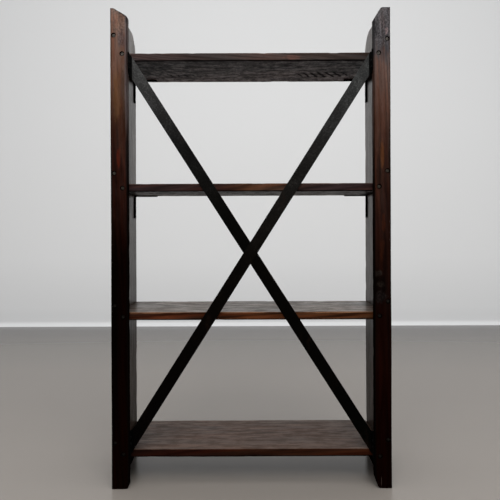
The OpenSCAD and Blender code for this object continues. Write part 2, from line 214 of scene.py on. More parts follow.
@dataclass
class Skin:
    """Closed skin of a box lattice, which is shaped by moving its points.

    Attributes:
        lattice: Places on the plain box, which stay as they were.
        points: Places as shaped so far.
        quads: Corner numbers of each face, turning so that the faces point outwards.
    """

    lattice: Array
    points: Array
    quads: Array

    @classmethod
    def from_lines(cls, xs: Array, ys: Array, zs: Array) -> "Skin":
        """Makes the skin of the lattice that the lines of three axes give.

        A lattice point is on the skin where its number on any axis is the first or the
        last. Each of the six sheets gives one face for each of its cells.

        Args:
            xs: Lines across X.
            ys: Lines across Y.
            zs: Lines across Z.

        Returns:
            The skin, with its points on the plain box.
        """
        shape = (len(xs), len(ys), len(zs))
        index = np.indices(shape)
        last = np.array(shape).reshape(3, 1, 1, 1) - 1
        on_skin = ((index == 0) | (index == last)).any(axis=0)
        number = (np.cumsum(on_skin) - 1).reshape(shape)
        at = index[:, on_skin]
        lattice = np.stack([xs[at[0]], ys[at[1]], zs[at[2]]], axis=1)
        sheets = []
        for axis in (X, Y, Z):
            for end in (0, -1):
                sheet = np.take(number, end, axis=axis)
                corners = (sheet[:-1, :-1], sheet[1:, :-1], sheet[1:, 1:], sheet[:-1, 1:])
                cells = np.stack(corners, axis=-1).reshape(-1, 4)
                outwards = (end == -1) != (axis == Y)
                sheets.append(cells if outwards else cells[:, ::-1])
        return cls(lattice, lattice.copy(), np.concatenate(sheets))

    def corners(self) -> tuple[Array, Array]:
        """Lowest and highest corner of the plain box."""
        return self.lattice.min(axis=0), self.lattice.max(axis=0)

    def ease_edge(self, axes: tuple[int, int], corner: Pair, radius: float) -> None:
        """Rounds the edge where two faces of the box meet.

        A point past the arc's centre c on both axes, at d from it, goes to
        c + d * max(|d|) / |d|: squares round the centre become circles.

        Args:
            axes: The two axes across the edge.
            corner: The edge's place on these axes.
            radius: Radius of the arc.
        """
        low, high = self.corners()
        pair = list(axes)
        inwards = np.sign((low + high)[pair] / 2 - corner)
        centre = np.asarray(corner) + inwards * radius
        offset = self.points[:, pair] - centre
        past = (offset * -inwards > 0).all(axis=1)
        reach = np.abs(offset[past])
        share = reach.max(axis=1) / np.linalg.norm(reach, axis=1)
        moved = self.points[past]
        moved[:, pair] = centre + offset[past] * share[:, None]
        self.points[past] = moved

    def ease_rims(self, flat: int, outline: list[Place], rim: float) -> None:
        """Rounds the corners of a board's outline and then both rims of that outline.

        The outline's corners are rounded as in ease_edge. Near a rim, a point at the
        depths (s, t) under the outline and under the flat face has d = rim - (s, t), and
        d becomes d * max(d) / |d|, which turns the square edge into an arc.

        Args:
            flat: Axis across the board's two flat faces.
            outline: Corners of the outline, each as its two places and its radius.
            rim: Radius of the rims.
        """
        low, high = self.corners()
        pair = [axis for axis in (X, Y, Z) if axis != flat]
        place = self.lattice[:, pair]
        depths = np.stack([place - low[pair], high[pair] - place], axis=2).reshape(-1, 4)
        ways = np.array([[1, 0], [-1, 0], [0, 1], [0, -1]], float)
        inwards = ways[depths.argmin(axis=1)]
        for a, b, radius in outline:
            sign = np.sign((low + high)[pair] / 2 - (a, b))
            offset = place - (np.array([a, b]) + sign * radius)
            past = (offset * -sign > 0).all(axis=1)
            inwards[past] = -offset[past] / np.linalg.norm(offset[past], axis=1)[:, None]
            self.ease_edge((pair[0], pair[1]), (a, b), radius)
        across = self.lattice[:, flat]
        cover = np.minimum(across - low[flat], high[flat] - across)
        near = np.clip(rim - np.stack([depths.min(axis=1), cover], axis=1), 0, None)
        both = (near > 0).all(axis=1)
        share = np.ones(len(near))
        share[both] = near[both].max(axis=1) / np.linalg.norm(near[both], axis=1)
        move = near * (1 - share[:, None])
        self.points[:, pair] += inwards * move[:, :1]
        self.points[:, flat] += np.where(across > (low + high)[flat] / 2, -1, 1) * move[:, 1]

    def edge_depth(self) -> Array:
        """Distance from the nearest edge: on the box's skin, the middle one of three depths.

        Returns:
            The distance of each point of the plain box.
        """
        low, high = self.corners()
        depths = np.minimum(self.lattice - low, high - self.lattice)
        return np.sort(depths, axis=1)[:, 1]

    def normals(self) -> Array:
        """Directions in which the faces look, blended at the points.

        The cross product of a face's diagonals is its normal times twice its area. The
        sum of these round a point is scaled to a length of one.

        Returns:
            The unit normal of each point.
        """
        a, b, c, d = (self.points[self.quads[:, k]] for k in range(4))
        face = np.cross(c - a, d - b)
        total = np.zeros_like(self.points)
        for k in range(4):
            np.add.at(total, self.quads[:, k], face)
        return total / np.maximum(np.linalg.norm(total, axis=1), 1e-12)[:, None]

    def wear_down(self, hollow: float, nick: float, seed: int, along: int, keep: Array | float = 1.0,
                  band: float = 0.006) -> None:
        """Moves the faces inwards a little, as planing, knocks and years of use do.

        The faces sink by hollow * (1 + long ripple) / 2. Near an edge they sink further
        by nick * e^2 * r^2, where e falls from one at the edge to zero at the band's end
        and r is what a short ripple rises over a quarter.

        Args:
            hollow: Deepest long hollow.
            nick: Depth of the nicks in the edges.
            seed: Number that fixes the ripples.
            along: Axis of the board's length.
            keep: Share of the movement that each point keeps.
            band: Width of the nicked band along the edges.
        """
        slow = np.clip(ripple(self.lattice, LONG_WAVES, along, seed), -1, 1)
        quick = np.clip(ripple(self.lattice, SHORT_WAVES, along, seed + 1) - 0.25, 0, 1)
        edge = np.clip(1 - self.edge_depth() / band, 0, 1)
        sink = (hollow * (1 + slow) / 2 + nick * edge**2 * quick**2) * keep
        self.points -= self.normals() * sink[:, None]

    def to_object(self, name: str, marks: dict[str, Array], sharp: float = 38.0) -> bpy.types.Object:
        """Puts the skin into a mesh with smooth faces and one value a point for each mark.

        Args:
            name: Name of the new object.
            marks: Named values for the points, which the finishes read.
            sharp: Angle in degrees over which an edge stays crisp.

        Returns:
            The new object, at the origin, linked to the scene.
        """
        mesh = bpy.data.meshes.new(name)
        count = len(self.quads)
        mesh.vertices.add(len(self.points))
        mesh.vertices.foreach_set("co", self.points.astype(np.float32).ravel())
        mesh.loops.add(4 * count)
        mesh.loops.foreach_set("vertex_index", self.quads.astype(np.int32).ravel())
        mesh.polygons.add(count)
        mesh.polygons.foreach_set("loop_start", np.arange(count, dtype=np.int32) * 4)
        mesh.polygons.foreach_set("use_smooth", np.ones(count, bool))
        mesh.update(calc_edges=True)
        mesh.set_sharp_from_angle(angle=math.radians(sharp))
        for mark, values in marks.items():
            layer = mesh.attributes.new(mark, "FLOAT", "POINT")
            layer.data.foreach_set("value", values.astype(np.float32))
        return linked(name, mesh)


def linked(name: str, data: Any) -> bpy.types.Object:
    """Makes an object and links it to the scene.

    Args:
        name: Its name.
        data: Its mesh, light or camera.

    Returns:
        The object.
    """
    made = bpy.data.objects.new(name, data)
    bpy.context.scene.collection.objects.link(made)
    return made


class Graph:
    """Adds nodes to a node tree and links them as it goes."""

    def __init__(self, tree: bpy.types.NodeTree) -> None:
        """Keeps the tree that the nodes go into."""
        self.tree = tree

    def feed(self, node: bpy.types.Node, inputs: dict[Any, Any]) -> None:
        """Links sockets to a node's inputs and sets its plain values.

        Args:
            node: The node.
            inputs: Socket or value for each input, by name or number.
        """
        for key, value in inputs.items():
            if isinstance(value, bpy.types.NodeSocket):
                self.tree.links.new(value, node.inputs[key])
            else:
                node.inputs[key].default_value = value

    def node(self, kind: str, inputs: dict[Any, Any] | None = None, **settings: Any) -> bpy.types.Node:
        """Adds one node.

        Args:
            kind: The node's type, without ShaderNode before it.
            inputs: Values or sockets for its inputs, by name or number.
            settings: Its other properties.

        Returns:
            The node.
        """
        made = self.tree.nodes.new("ShaderNode" + kind)
        for key, value in settings.items():
            setattr(made, key, value)
        self.feed(made, inputs or {})
        return made

    def group(self, tree: bpy.types.NodeTree, inputs: dict[str, Any]) -> Any:
        """Adds a node group with its inputs and returns its outputs."""
        return self.node("Group", inputs, node_tree=tree).outputs

    def mark(self, name: str) -> Socket:
        """Value of a piece's mark."""
        return self.node("Attribute", attribute_name=name).outputs["Fac"]

    def axis(self, place: Socket, name: str) -> Socket:
        """Place on the axis X, Y or Z."""
        return self.node("SeparateXYZ", {0: place}).outputs[name]

    def math(self, operation: str, *values: Any, clamp: bool = False) -> Socket:
        """Result of a Math node."""
        made = self.node("Math", dict(enumerate(values)), operation=operation, use_clamp=clamp)
        return made.outputs[0]

    def times(self, a: Any, b: Any, plus: Any = 0.0, clamp: bool = False) -> Socket:
        """The value a * b + plus."""
        return self.math("MULTIPLY_ADD", a, b, plus, clamp=clamp)

    def minus(self, a: Any, b: Any, clamp: bool = False) -> Socket:
        """The value a - b."""
        return self.math("SUBTRACT", a, b, clamp=clamp)

    def larger(self, a: Any, b: Any) -> Socket:
        """The larger of two values."""
        return self.math("MAXIMUM", a, b)

    def swayed(self, base: Any, value: Socket, amount: Any, middle: float = 0.5) -> Socket:
        """The value base + (value - middle) * amount."""
        return self.times(self.minus(value, middle), amount, base)

    def remap(self, value: Any, low: Any, high: Any, to_low: float = 0.0, to_high: float = 1.0) -> Socket:
        """A value that goes smoothly from to_low at low to to_high at high, held at both ends."""
        inputs = {0: value, 1: low, 2: high, 3: to_low, 4: to_high}
        return self.node("MapRange", inputs, interpolation_type="SMOOTHSTEP", clamp=True).outputs[0]

    def vector(self, operation: str, *values: Any, output: str = "Vector") -> Socket:
        """Result of a Vector Math node."""
        return self.node("VectorMath", dict(enumerate(values)), operation=operation).outputs[output]

    def noise(self, at: Socket, scale: Place, detail: float, rough: float = 0.5,
              output: str = "Fac") -> Socket:
        """Noise that is stretched in its own way along each axis.

        Args:
            at: Coordinates.
            scale: Scale along each axis.
            detail: How many finer noises are added.
            rough: Share of each finer noise.
            output: Fac for a value, or Color for three.

        Returns:
            The noise.
        """
        stretched = self.vector("MULTIPLY", at, scale)
        inputs = {"Vector": stretched, "Scale": 1.0, "Detail": detail, "Roughness": rough}
        return self.node("TexNoise", inputs).outputs[output]

    def field(self, at: Socket, scale: Place, detail: float, rough: float, low: float,
              high: float) -> Socket:
        """Noise that is drawn apart, to be zero under low and one over high."""
        return self.remap(self.noise(at, scale, detail, rough), low, high)

    def mix(self, share: Any, a: Any, b: Any, blend: str = "MIX") -> Socket:
        """One colour with another one mixed in.

        Args:
            share: Share of the second colour.
            a: First colour.
            b: Second colour.
            blend: Way of mixing, by Blender's name.

        Returns:
            The mixed colour.
        """
        inputs = {0: share, 6: a, 7: b}
        made = self.node("Mix", inputs, data_type="RGBA", blend_type=blend, clamp_factor=True)
        return made.outputs[2]

    def tinted(self, colour: Any, tint: Any) -> Socket:
        """A colour multiplied by another one."""
        return self.mix(1.0, colour, tint, "MULTIPLY")

    def toned(self, colour: Any, tone: Socket) -> Socket:
        """A colour multiplied by a value."""
        return self.tinted(colour, self.node("CombineXYZ", {0: tone, 1: tone, 2: tone}).outputs[0])

    def ramp(self, place: Socket, stops: list[tuple[float, tuple[float, ...]]]) -> Socket:
        """Colour of a Color Ramp between places, held at both ends.

        Args:
            place: Where the colour is wanted.
            stops: Places in rising order and the linear colour at each.

        Returns:
            The colour.
        """
        low, high = stops[0][0], stops[-1][0]
        share = self.math("DIVIDE", self.minus(place, low), high - low, clamp=True)
        made = self.node("ValToRGB", {0: share})
        elements = made.color_ramp.elements
        while len(elements) < len(stops):
            elements.new(1.0)
        for element, (at, colour) in zip(elements, stops):
            element.position = (at - low) / (high - low)
            element.color = colour
        return made.outputs[0]

    def shaded(self, place: Socket, shades: Shades) -> Socket:
        """Colour at a place, between the colours of given places."""
        return self.ramp(place, [(at, linear(colour)) for at, colour in shades])

    def levelled(self, place: Socket, levels: tuple[Pair, ...]) -> Socket:
        """Value at a place, between the values of given places."""
        return self.ramp(place, [(at, (level, level, level, 1.0)) for at, level in levels])

    def bump(self, height: Socket, strength: float, depth: float) -> Socket:
        """Normal of a surface with a relief."""
        inputs = {"Strength": strength, "Distance": depth, "Height": height}
        return self.node("Bump", inputs).outputs["Normal"]


class Effect(Graph):
    """Shader node group with named inputs, and values that change over the surface as outputs."""

    def __init__(self, name: str, vectors: tuple[str, ...], values: dict[str, float]) -> None:
        """Starts the group.

        Args:
            name: The group's name.
            vectors: Names of its vector inputs.
            values: Names of its other inputs, and the value of each where nothing is linked.
        """
        super().__init__(bpy.data.node_groups.new(name, "ShaderNodeTree"))
        for label in vectors:
            self.tree.interface.new_socket(label, in_out="INPUT", socket_type="NodeSocketVector")
        for label, value in values.items():
            socket = self.tree.interface.new_socket(label, in_out="INPUT", socket_type="NodeSocketFloat")
            socket.default_value = value
        self.given = self.tree.nodes.new("NodeGroupInput").outputs

    def close(self, results: dict[str, Socket]) -> bpy.types.NodeTree:
        """Finishes the group.

        Args:
            results: Its outputs by name, all of them values.

        Returns:
            The group.
        """
        for label in results:
            self.tree.interface.new_socket(label, in_out="OUTPUT", socket_type="NodeSocketFloat")
        self.feed(self.tree.nodes.new("NodeGroupOutput"), results)
        return self.tree


class Effects:
    """Shader node groups that several finishes use, each built once."""

    def __init__(self) -> None:
        """Builds the four groups."""
        self.figure = self.build_figure()
        self.rubbing = self.build_rubbing()
        self.patch = self.build_patch()
        self.mottle = self.build_mottle()

    def build_figure(self) -> bpy.types.NodeTree:
        """Figure of a sawn board whose fibres run along Z.

        Rings are cylinders round the Z axis, bent by slow noise: the distance from the
        axis divided by the ring width is the phase of a sine. The other outputs are
        noise, which is drawn out along Z for streaks, fibres, pores and warmth.

        Returns:
            The group, with a value for rings, streaks, fibres, clouds, pores, warmth and
            blotches.
        """
        effect = Effect("board_figure", ("Vector",), {"Ring Width": 0.007, "Wander": 0.02})
        at = effect.given["Vector"]
        slow = effect.noise(at, (7, 7, 1.6), 2, output="Color")
        centred = effect.vector("SUBTRACT", slow, (0.5, 0.5, 0.5))
        spread = effect.node("VectorMath", {0: centred, "Scale": effect.given["Wander"]}, operation="SCALE")
        bent = effect.vector("ADD", at, spread.outputs["Vector"])
        reach = effect.vector("LENGTH", effect.vector("MULTIPLY", bent, (1, 1, 0)), output="Value")
        phase = effect.math("DIVIDE", reach, effect.given["Ring Width"])
        phase = effect.times(effect.noise(at, (60, 60, 4), 1), 0.9, phase)
        wave = effect.math("SINE", effect.times(phase, 2 * math.pi))
        fields = {
            "Streaks": ((170, 170, 2.6), 3, 0.6, 0.3, 0.7),
            "Fibres": ((620, 620, 14), 2, 0.6, 0.25, 0.75),
            "Clouds": ((16, 16, 4), 4, 0.6, 0.28, 0.72),
            "Pores": ((1300, 1300, 70), 1, 0.5, 0.6, 0.72),
            "Warmth": ((75, 75, 2.2), 4, 0.65, 0.38, 0.64),
            "Blotches": ((62, 62, 20), 5, 0.62, 0.36, 0.66),
        }
        drawn = {name: effect.field(at, *values) for name, values in fields.items()}
        return effect.close({"Rings": effect.math("POWER", effect.times(wave, 0.5, 0.5), 1.7)} | drawn)

    def build_rubbing(self) -> bpy.types.NodeTree:
        """Where hands and knocks have rubbed an edge bare, and small dents.

        The rub is the mark of the edge plus noise, cut off softly. The dents are the
        high end of a fine noise times a slow one.

        Returns:
            The group, with a value for the rub and for the dents.
        """
        effect = Effect("edge_rubbing", ("Vector",), {"Edge": 0.0, "Amount": 0.5})
        at = effect.given["Vector"]
        slow = effect.noise(at, (11, 11, 7), 2)
        patchy = effect.times(effect.noise(at, (90, 90, 40), 3, 0.65), 0.5, effect.times(slow, 0.6))
        level = effect.math("ADD", effect.given["Edge"], effect.minus(patchy, 0.55))
        cut = effect.minus(1.15, effect.times(effect.given["Amount"], 0.5))
        pits = effect.field(at, (260, 260, 260), 1, 0.5, 0.62, 0.74)
        return effect.close({
            "Rub": effect.remap(level, effect.minus(cut, 0.35), cut),
            "Dents": effect.times(pits, effect.remap(slow, 0.45, 0.65)),
        })

    def build_patch(self) -> bpy.types.NodeTree:
        """Ragged oval patch, as of a knot, a chip or a stretch of saw marks.

        The distance from the centre is divided by the reach on each axis and made ragged
        by noise. The patch is one inside and falls to zero past a distance of one, and
        the swirl is a sine of the distance.

        Returns:
            The group, with a value for the patch, for the swirl and for the grit.
        """
        effect = Effect("ragged_patch", ("Vector", "Centre", "Share"), {"Ragged": 0.5})
        at = effect.given["Vector"]
        offset = effect.vector("SUBTRACT", at, effect.given["Centre"])
        offset = effect.vector("MULTIPLY", offset, effect.given["Share"])
        reach = effect.vector("LENGTH", offset, output="Value")
        torn = effect.noise(at, (130, 130, 60), 4, 0.65)
        turns = effect.times(torn, 1.6, effect.times(reach, 2.3))
        swirl = effect.math("SINE", effect.times(turns, 2 * math.pi))
        return effect.close({
            "Patch": effect.remap(effect.swayed(reach, torn, effect.given["Ragged"]), 1.15, 0.6),
            "Swirl": effect.times(swirl, 0.5, 0.5),
            "Grit": effect.field(at, (230, 230, 190), 3, 0.65, 0.34, 0.66),
        })

    def build_mottle(self) -> bpy.types.NodeTree:
        """Blotches and grit of oxidised or painted steel.

        Blotches are two noises of different size, multiplied. The other outputs are one
        noise each.

        Returns:
            The group, with a value for the blotches, the grit, the specks and the rust.
        """
        effect = Effect("steel_mottle", ("Vector",), {})
        at = effect.given["Vector"]
        wide = effect.field(at, (28, 28, 28), 4, 0.6, 0.35, 0.65)
        narrow = effect.field(at, (190, 190, 190), 3, 0.6, 0.3, 0.7)
        return effect.close({
            "Blotches": effect.times(wide, narrow),
            "Grit": effect.noise(at, (1500, 1500, 1500), 2),
            "Specks": effect.field(at, (310, 310, 310), 2, 0.55, 0.5, 0.68),
            "Rust": effect.field(at, (17, 17, 9), 5, 0.7, 0.56, 0.7),
        })


EFFECTS = Effects()


def bare_material(name: str) -> tuple[bpy.types.Material, Graph, bpy.types.Node, Socket]:
    """Starts a material.

    Args:
        name: Its name.

    Returns:
        The material, a graph for its nodes, its shader, and the piece's coordinates.
    """
    material = bpy.data.materials.new(name)
    material.use_nodes = True
    graph = Graph(material.node_tree)
    place = graph.node("TexCoord").outputs["Object"]
    return material, graph, material.node_tree.nodes["Principled BSDF"], place


@dataclass(frozen=True)
class Patch:
    """Ragged patch of another colour on a board, such as a knot, a bleached place or a painted highlight.

    Attributes:
        centre: Place of its middle.
        reach: How far it goes on each axis.
        colour: Its colour.
        strength: Share of its colour.
        ragged: How ragged its rim is.
        swirl: How strongly its rings show.
        grit: How strongly its grit shows.
        ring_colour: Colour of its rings.
    """

    centre: Place
    reach: Place
    colour: Colour
    strength: float = 0.6
    ragged: float = 0.9
    swirl: float = 0.0
    grit: float = 0.0
    ring_colour: Colour = (8, 6, 6)

    def painted(self, graph: Graph, place: Socket, colour: Socket, tone: Socket) -> Socket:
        """Paints the patch on a board.

        Args:
            graph: The material's graph.
            place: The piece's coordinates.
            colour: Colour of the board.
            tone: Lightness of the board's figure.

        Returns:
            The colour with the patch mixed in.
        """
        spot = graph.group(EFFECTS.patch, {
            "Vector": place, "Centre": self.centre, "Share": tuple(1 / r for r in self.reach),
            "Ragged": self.ragged,
        })
        inside = graph.toned(linear(self.colour), tone)
        if self.grit:
            inside = graph.toned(inside, graph.remap(spot["Grit"], 0.0, 1.0, 1 - self.grit, 1 + self.grit))
        if self.swirl:
            inside = graph.mix(graph.times(spot["Swirl"], self.swirl), inside, linear(self.ring_colour))
        return graph.mix(graph.times(spot["Patch"], self.strength), colour, inside)


@dataclass(frozen=True)
class WoodFinish:
    """Stained and waxed board.

    Attributes:
        name: Name of the material.
        grain: Direction of the fibres.
        stain_and_painted_light: Places along the board and the colour at each: the board's own stains, and
            on the stiles also painted light, near black low down and lighter towards the top.
        wax: The same board's ends and places between, and how thick the wax is at each.
        centre: Place in the board on which the pattern is centred.
        smeared: How far the wax is smeared in streaks.
        heart: Where the tree's heart lies from the board's middle, across the fibres.
        tilt: Turn of the heart against the board, in radians.
        ring_width: Spacing of the growth rings.
        wander: How far the rings wander.
        contrast: Strength of the rings and streaks.
        warmth: Strength of the warm and cool streaks.
        wavering: How far the borders of stain and wax waver, as a share of the length.
        rubbed: Colour of the rubbed edges.
        rub: How much of the edges is rubbed.
        roughness: Roughness of the wood under the wax.
        coat_roughness: Roughness of the wax.
        ior: Index of refraction of the wood under the wax.
        relief: Strength and depth of the relief.
        upper: Colour of a shelf's upper face.
        underside: Colour of a shelf's underside.
        painted_front_light: Places on Y from back to front, and the underside's lightness at each: painted
            light, lighter towards the front where more light reaches.
        blotched: How strongly these two faces are blotched.
        flecked: How strongly the underside is flecked.
        sawn: Areas of saw marks on the underside: middle and reach on X and Y, and depth.
        saw_slant: How far the saw marks go on X for each step on Y.
        saw_turn: Turn of the saw marks' wave on a metre of X, in radians.
        saw_bend: How far noise bends that wave, in radians.
        patches: Knots, bleached places and dark places, and on the stiles painted highlights and sheen.
        dark_shade: Colour of the dark places: painted shade in corners and recesses, and dark end grain.
        kerf: Colour of the saw marks.
    """

    name: str
    grain: Grain
    stain_and_painted_light: Shades
    wax: tuple[Pair, ...]
    centre: Place
    smeared: float = 0.8
    heart: Pair = (0.05, 0.09)
    tilt: Pair = (0.02, 0.03)
    ring_width: float = 0.0075
    wander: float = 0.03
    contrast: float = 0.6
    warmth: float = 0.5
    # wavering: How far the borders of these colours and of the wax waver, as a share of the length.
    wavering: float = 0.09
    rubbed: Colour = (96, 72, 60)
    rub: float = 0.2
    roughness: float = 0.55
    coat_roughness: float = 0.3
    ior: float = 1.0
    relief: Pair = (0.6, 0.0004)
    upper: Colour = (60, 46, 38)
    underside: Colour = (34, 28, 26)
    painted_front_light: tuple[Pair, Pair] = ((-0.09, 0.92), (0.11, 2.85))
    blotched: float = 0.5
    flecked: float = 0.3
    sawn: tuple[tuple[float, float, float, float, float], ...] = ()
    saw_slant: float = 0.44
    saw_turn: float = 300.0
    saw_bend: float = 9.0
    patches: tuple[Patch, ...] = ()
    dark_shade: Colour = (7, 5, 4)
    kerf: Colour = (5, 3, 3)

    def build(self) -> bpy.types.Material:
        """Makes the material.

        Places along the fibres are bent by slow noise, so that the borders of the colours and
        of the wax wander. The relief is the rings, fibres, pores, dents and saw marks.

        Returns:
            The material.
        """
        material, graph, shader, place = bare_material(self.name)
        quarter = math.pi / 2 if self.grain is Grain.LEVEL else 0.0
        at = graph.node("Mapping", {
            "Vector": graph.vector("SUBTRACT", place, self.centre), "Location": (*self.heart, 0.0),
            "Rotation": (self.tilt[0], self.tilt[1] - quarter, 0.0),
        }).outputs[0]
        figure = graph.group(EFFECTS.figure, {
            "Vector": at, "Ring Width": self.ring_width, "Wander": self.wander,
        })
        rubbing = graph.group(EFFECTS.rubbing, {
            "Vector": at, "Edge": graph.mark("edge"), "Amount": self.rub,
        })
        under, dark = graph.mark("under"), graph.mark("dark")
        waver = self.wavering * (self.stain_and_painted_light[-1][0] - self.stain_and_painted_light[0][0])
        run = graph.swayed(graph.axis(place, self.grain.value), figure["Clouds"], waver)
        flecks = graph.noise(place, (70, 48, 48), 4, 0.75)
        flecks = graph.remap(flecks, 0.34, 0.66, 1 - self.flecked, 1 + self.flecked)

        saw = self.saw_marks(graph, place, under)
        colour = self.coloured(graph, place, run, figure, rubbing["Rub"], flecks)
        colour = graph.mix(graph.times(saw, 0.85), colour, linear(self.kerf))
        rough = graph.swayed(self.roughness, figure["Clouds"], 0.16)
        rough = graph.times(under, 0.25, graph.swayed(rough, figure["Fibres"], 0.12))
        height = graph.times(figure["Rings"], 0.35, graph.times(figure["Fibres"], 0.55))
        for pit, share in ((figure["Pores"], -0.6), (rubbing["Dents"], -1.2), (saw, -1.1)):
            height = graph.times(pit, share, height)
        bare = graph.larger(graph.larger(dark, graph.mark("bare")), saw)
        # The dark mark paints shade in corners and recesses, and darkens the end grain
        graph.feed(shader, {
            "Base Color": graph.mix(dark, colour, linear(self.dark_shade)), "Roughness": rough,
            "Coat Weight": self.waxed(graph, run, figure, under, bare, flecks),
            "Normal": graph.bump(height, *self.relief),
            "IOR": self.ior, "Coat Roughness": self.coat_roughness,
        })
        return material

    def waxed(self, graph: Graph, run: Socket, figure: Any, under: Socket, bare: Socket,
              flecks: Socket) -> Socket:
        """Thickness of the wax.

        The wax is smeared by blotches and streaks and thinner over pores. It is missing
        where the board is bare, and thin and flecked on the underside.

        Args:
            graph: The material's graph.
            run: Place along the fibres.
            figure: Outputs of the board's figure.
            under: Mark of the underside.
            bare: Where there is no wax.
            flecks: Lightness of the underside's flecks.

        Returns:
            The thickness, as a coat's weight.
        """
        smear = graph.times(figure["Blotches"], 0.5, graph.times(figure["Streaks"], 0.5))
        smear = graph.remap(smear, 0.15, 0.85, 1 + 0.5 * self.smeared, 1 - 0.7 * self.smeared)
        wax = graph.times(graph.levelled(run, self.wax), smear)
        wax = graph.times(wax, graph.remap(figure["Pores"], 0.0, 1.0, 1.0, 0.5))
        lost = graph.larger(bare, graph.times(under, 0.4))
        wax = graph.times(wax, graph.minus(1.0, lost, clamp=True))
        return graph.times(wax, graph.times(graph.minus(flecks, 1.0), under, 1.0))

    def coloured(self, graph: Graph, place: Socket, run: Socket, figure: Any, rub: Socket,
                 flecks: Socket) -> Socket:
        """Colour along the board, the grain, the patches, the rubbed edges and a shelf's faces.

        The colour along the board, which on the stiles holds painted light, is multiplied by a
        warm or a cool tint in streaks, and by a tone from the rings, streaks, fibres, clouds and
        pores. The patches, the rubbed edges and the two faces have colours of their own, multiplied
        by the same tone. The underside is painted lighter towards the front, as painted light.

        Args:
            graph: The material's graph.
            place: The piece's coordinates.
            run: Place along the fibres.
            figure: Outputs of the board's figure.
            rub: Where the edges are rubbed.
            flecks: Lightness of the underside's flecks.

        Returns:
            The colour.
        """
        cool = (1 - 0.28 * self.warmth, 1.0, 1 + 0.2 * self.warmth, 1.0)
        warm = (1 + 0.75 * self.warmth, 1 - 0.02 * self.warmth, 1 - 0.4 * self.warmth, 1.0)
        stain_and_painted_light = graph.tinted(graph.shaded(run, self.stain_and_painted_light), graph.mix(figure["Warmth"], cool, warm))
        line = graph.times(figure["Rings"], 0.5, graph.times(figure["Streaks"], 0.5))
        line = graph.swayed(line, figure["Fibres"], 0.35)
        tone = graph.remap(line, 0.1, 0.9, 1 + 0.8 * self.contrast, 1 - 0.62 * self.contrast)
        clouds = graph.remap(figure["Clouds"], 0, 1, 1 - 0.4 * self.contrast, 1 + 0.45 * self.contrast)
        tone = graph.times(graph.times(tone, clouds), graph.times(figure["Pores"], -0.4, 1.0))
        colour = graph.toned(stain_and_painted_light, tone)
        for patch in self.patches:
            colour = patch.painted(graph, place, colour, tone)
        colour = graph.mix(graph.times(rub, 0.55), colour, graph.toned(linear(self.rubbed), tone))

        mottled = graph.remap(figure["Blotches"], 0.0, 1.0, 1 + self.blotched, 1 - 0.6 * self.blotched)
        below = graph.times(graph.times(tone, mottled), flecks)
        # Painted light: the underside is painted lighter towards the front
        (back, dim), (front, bright) = self.painted_front_light
        light = graph.remap(graph.axis(place, "Y"), back, front, dim, bright)
        below = graph.toned(graph.toned(linear(self.underside), below), light)
        soft = graph.remap(figure["Blotches"], 0.0, 1.0, 1 + 0.6 * self.blotched, 1 - 0.35 * self.blotched)
        above = graph.toned(linear(self.upper), graph.times(graph.math("POWER", tone, 0.7), soft))
        above = graph.mix(graph.times(figure["Warmth"], 0.5), above, graph.tinted(above, warm))
        return graph.mix(graph.mark("under"), graph.mix(graph.mark("top"), colour, above), below)

    def saw_marks(self, graph: Graph, place: Socket, under: Socket) -> Socket:
        """Slanting marks of the saw in some areas of the underside.

        The marks are a squared wave of x - slant * y, bent by noise and held to the
        areas, whose rims are ragged.

        Args:
            graph: The material's graph.
            place: The piece's coordinates.
            under: Mark of the underside.

        Returns:
            How deep the marks are.
        """
        across = graph.times(graph.axis(place, "Y"), -self.saw_slant, graph.axis(place, "X"))
        bend = graph.times(graph.noise(place, (14, 14, 14), 3), self.saw_bend)
        phase = graph.times(across, self.saw_turn, bend)
        wave = graph.times(graph.math("SINE", phase), 0.5, 0.5)
        total: Any = 0.0
        for x, y, reach_x, reach_y, depth in self.sawn:
            area = graph.group(EFFECTS.patch, {
                "Vector": place, "Centre": (x, y, 0.0), "Share": (1 / reach_x, 1 / reach_y, 0.0),
                "Ragged": 0.8,
            })
            total = graph.times(area["Patch"], depth, total)
        marks = graph.times(graph.math("POWER", wave, 2.0), total, clamp=True)
        return graph.times(marks, under)


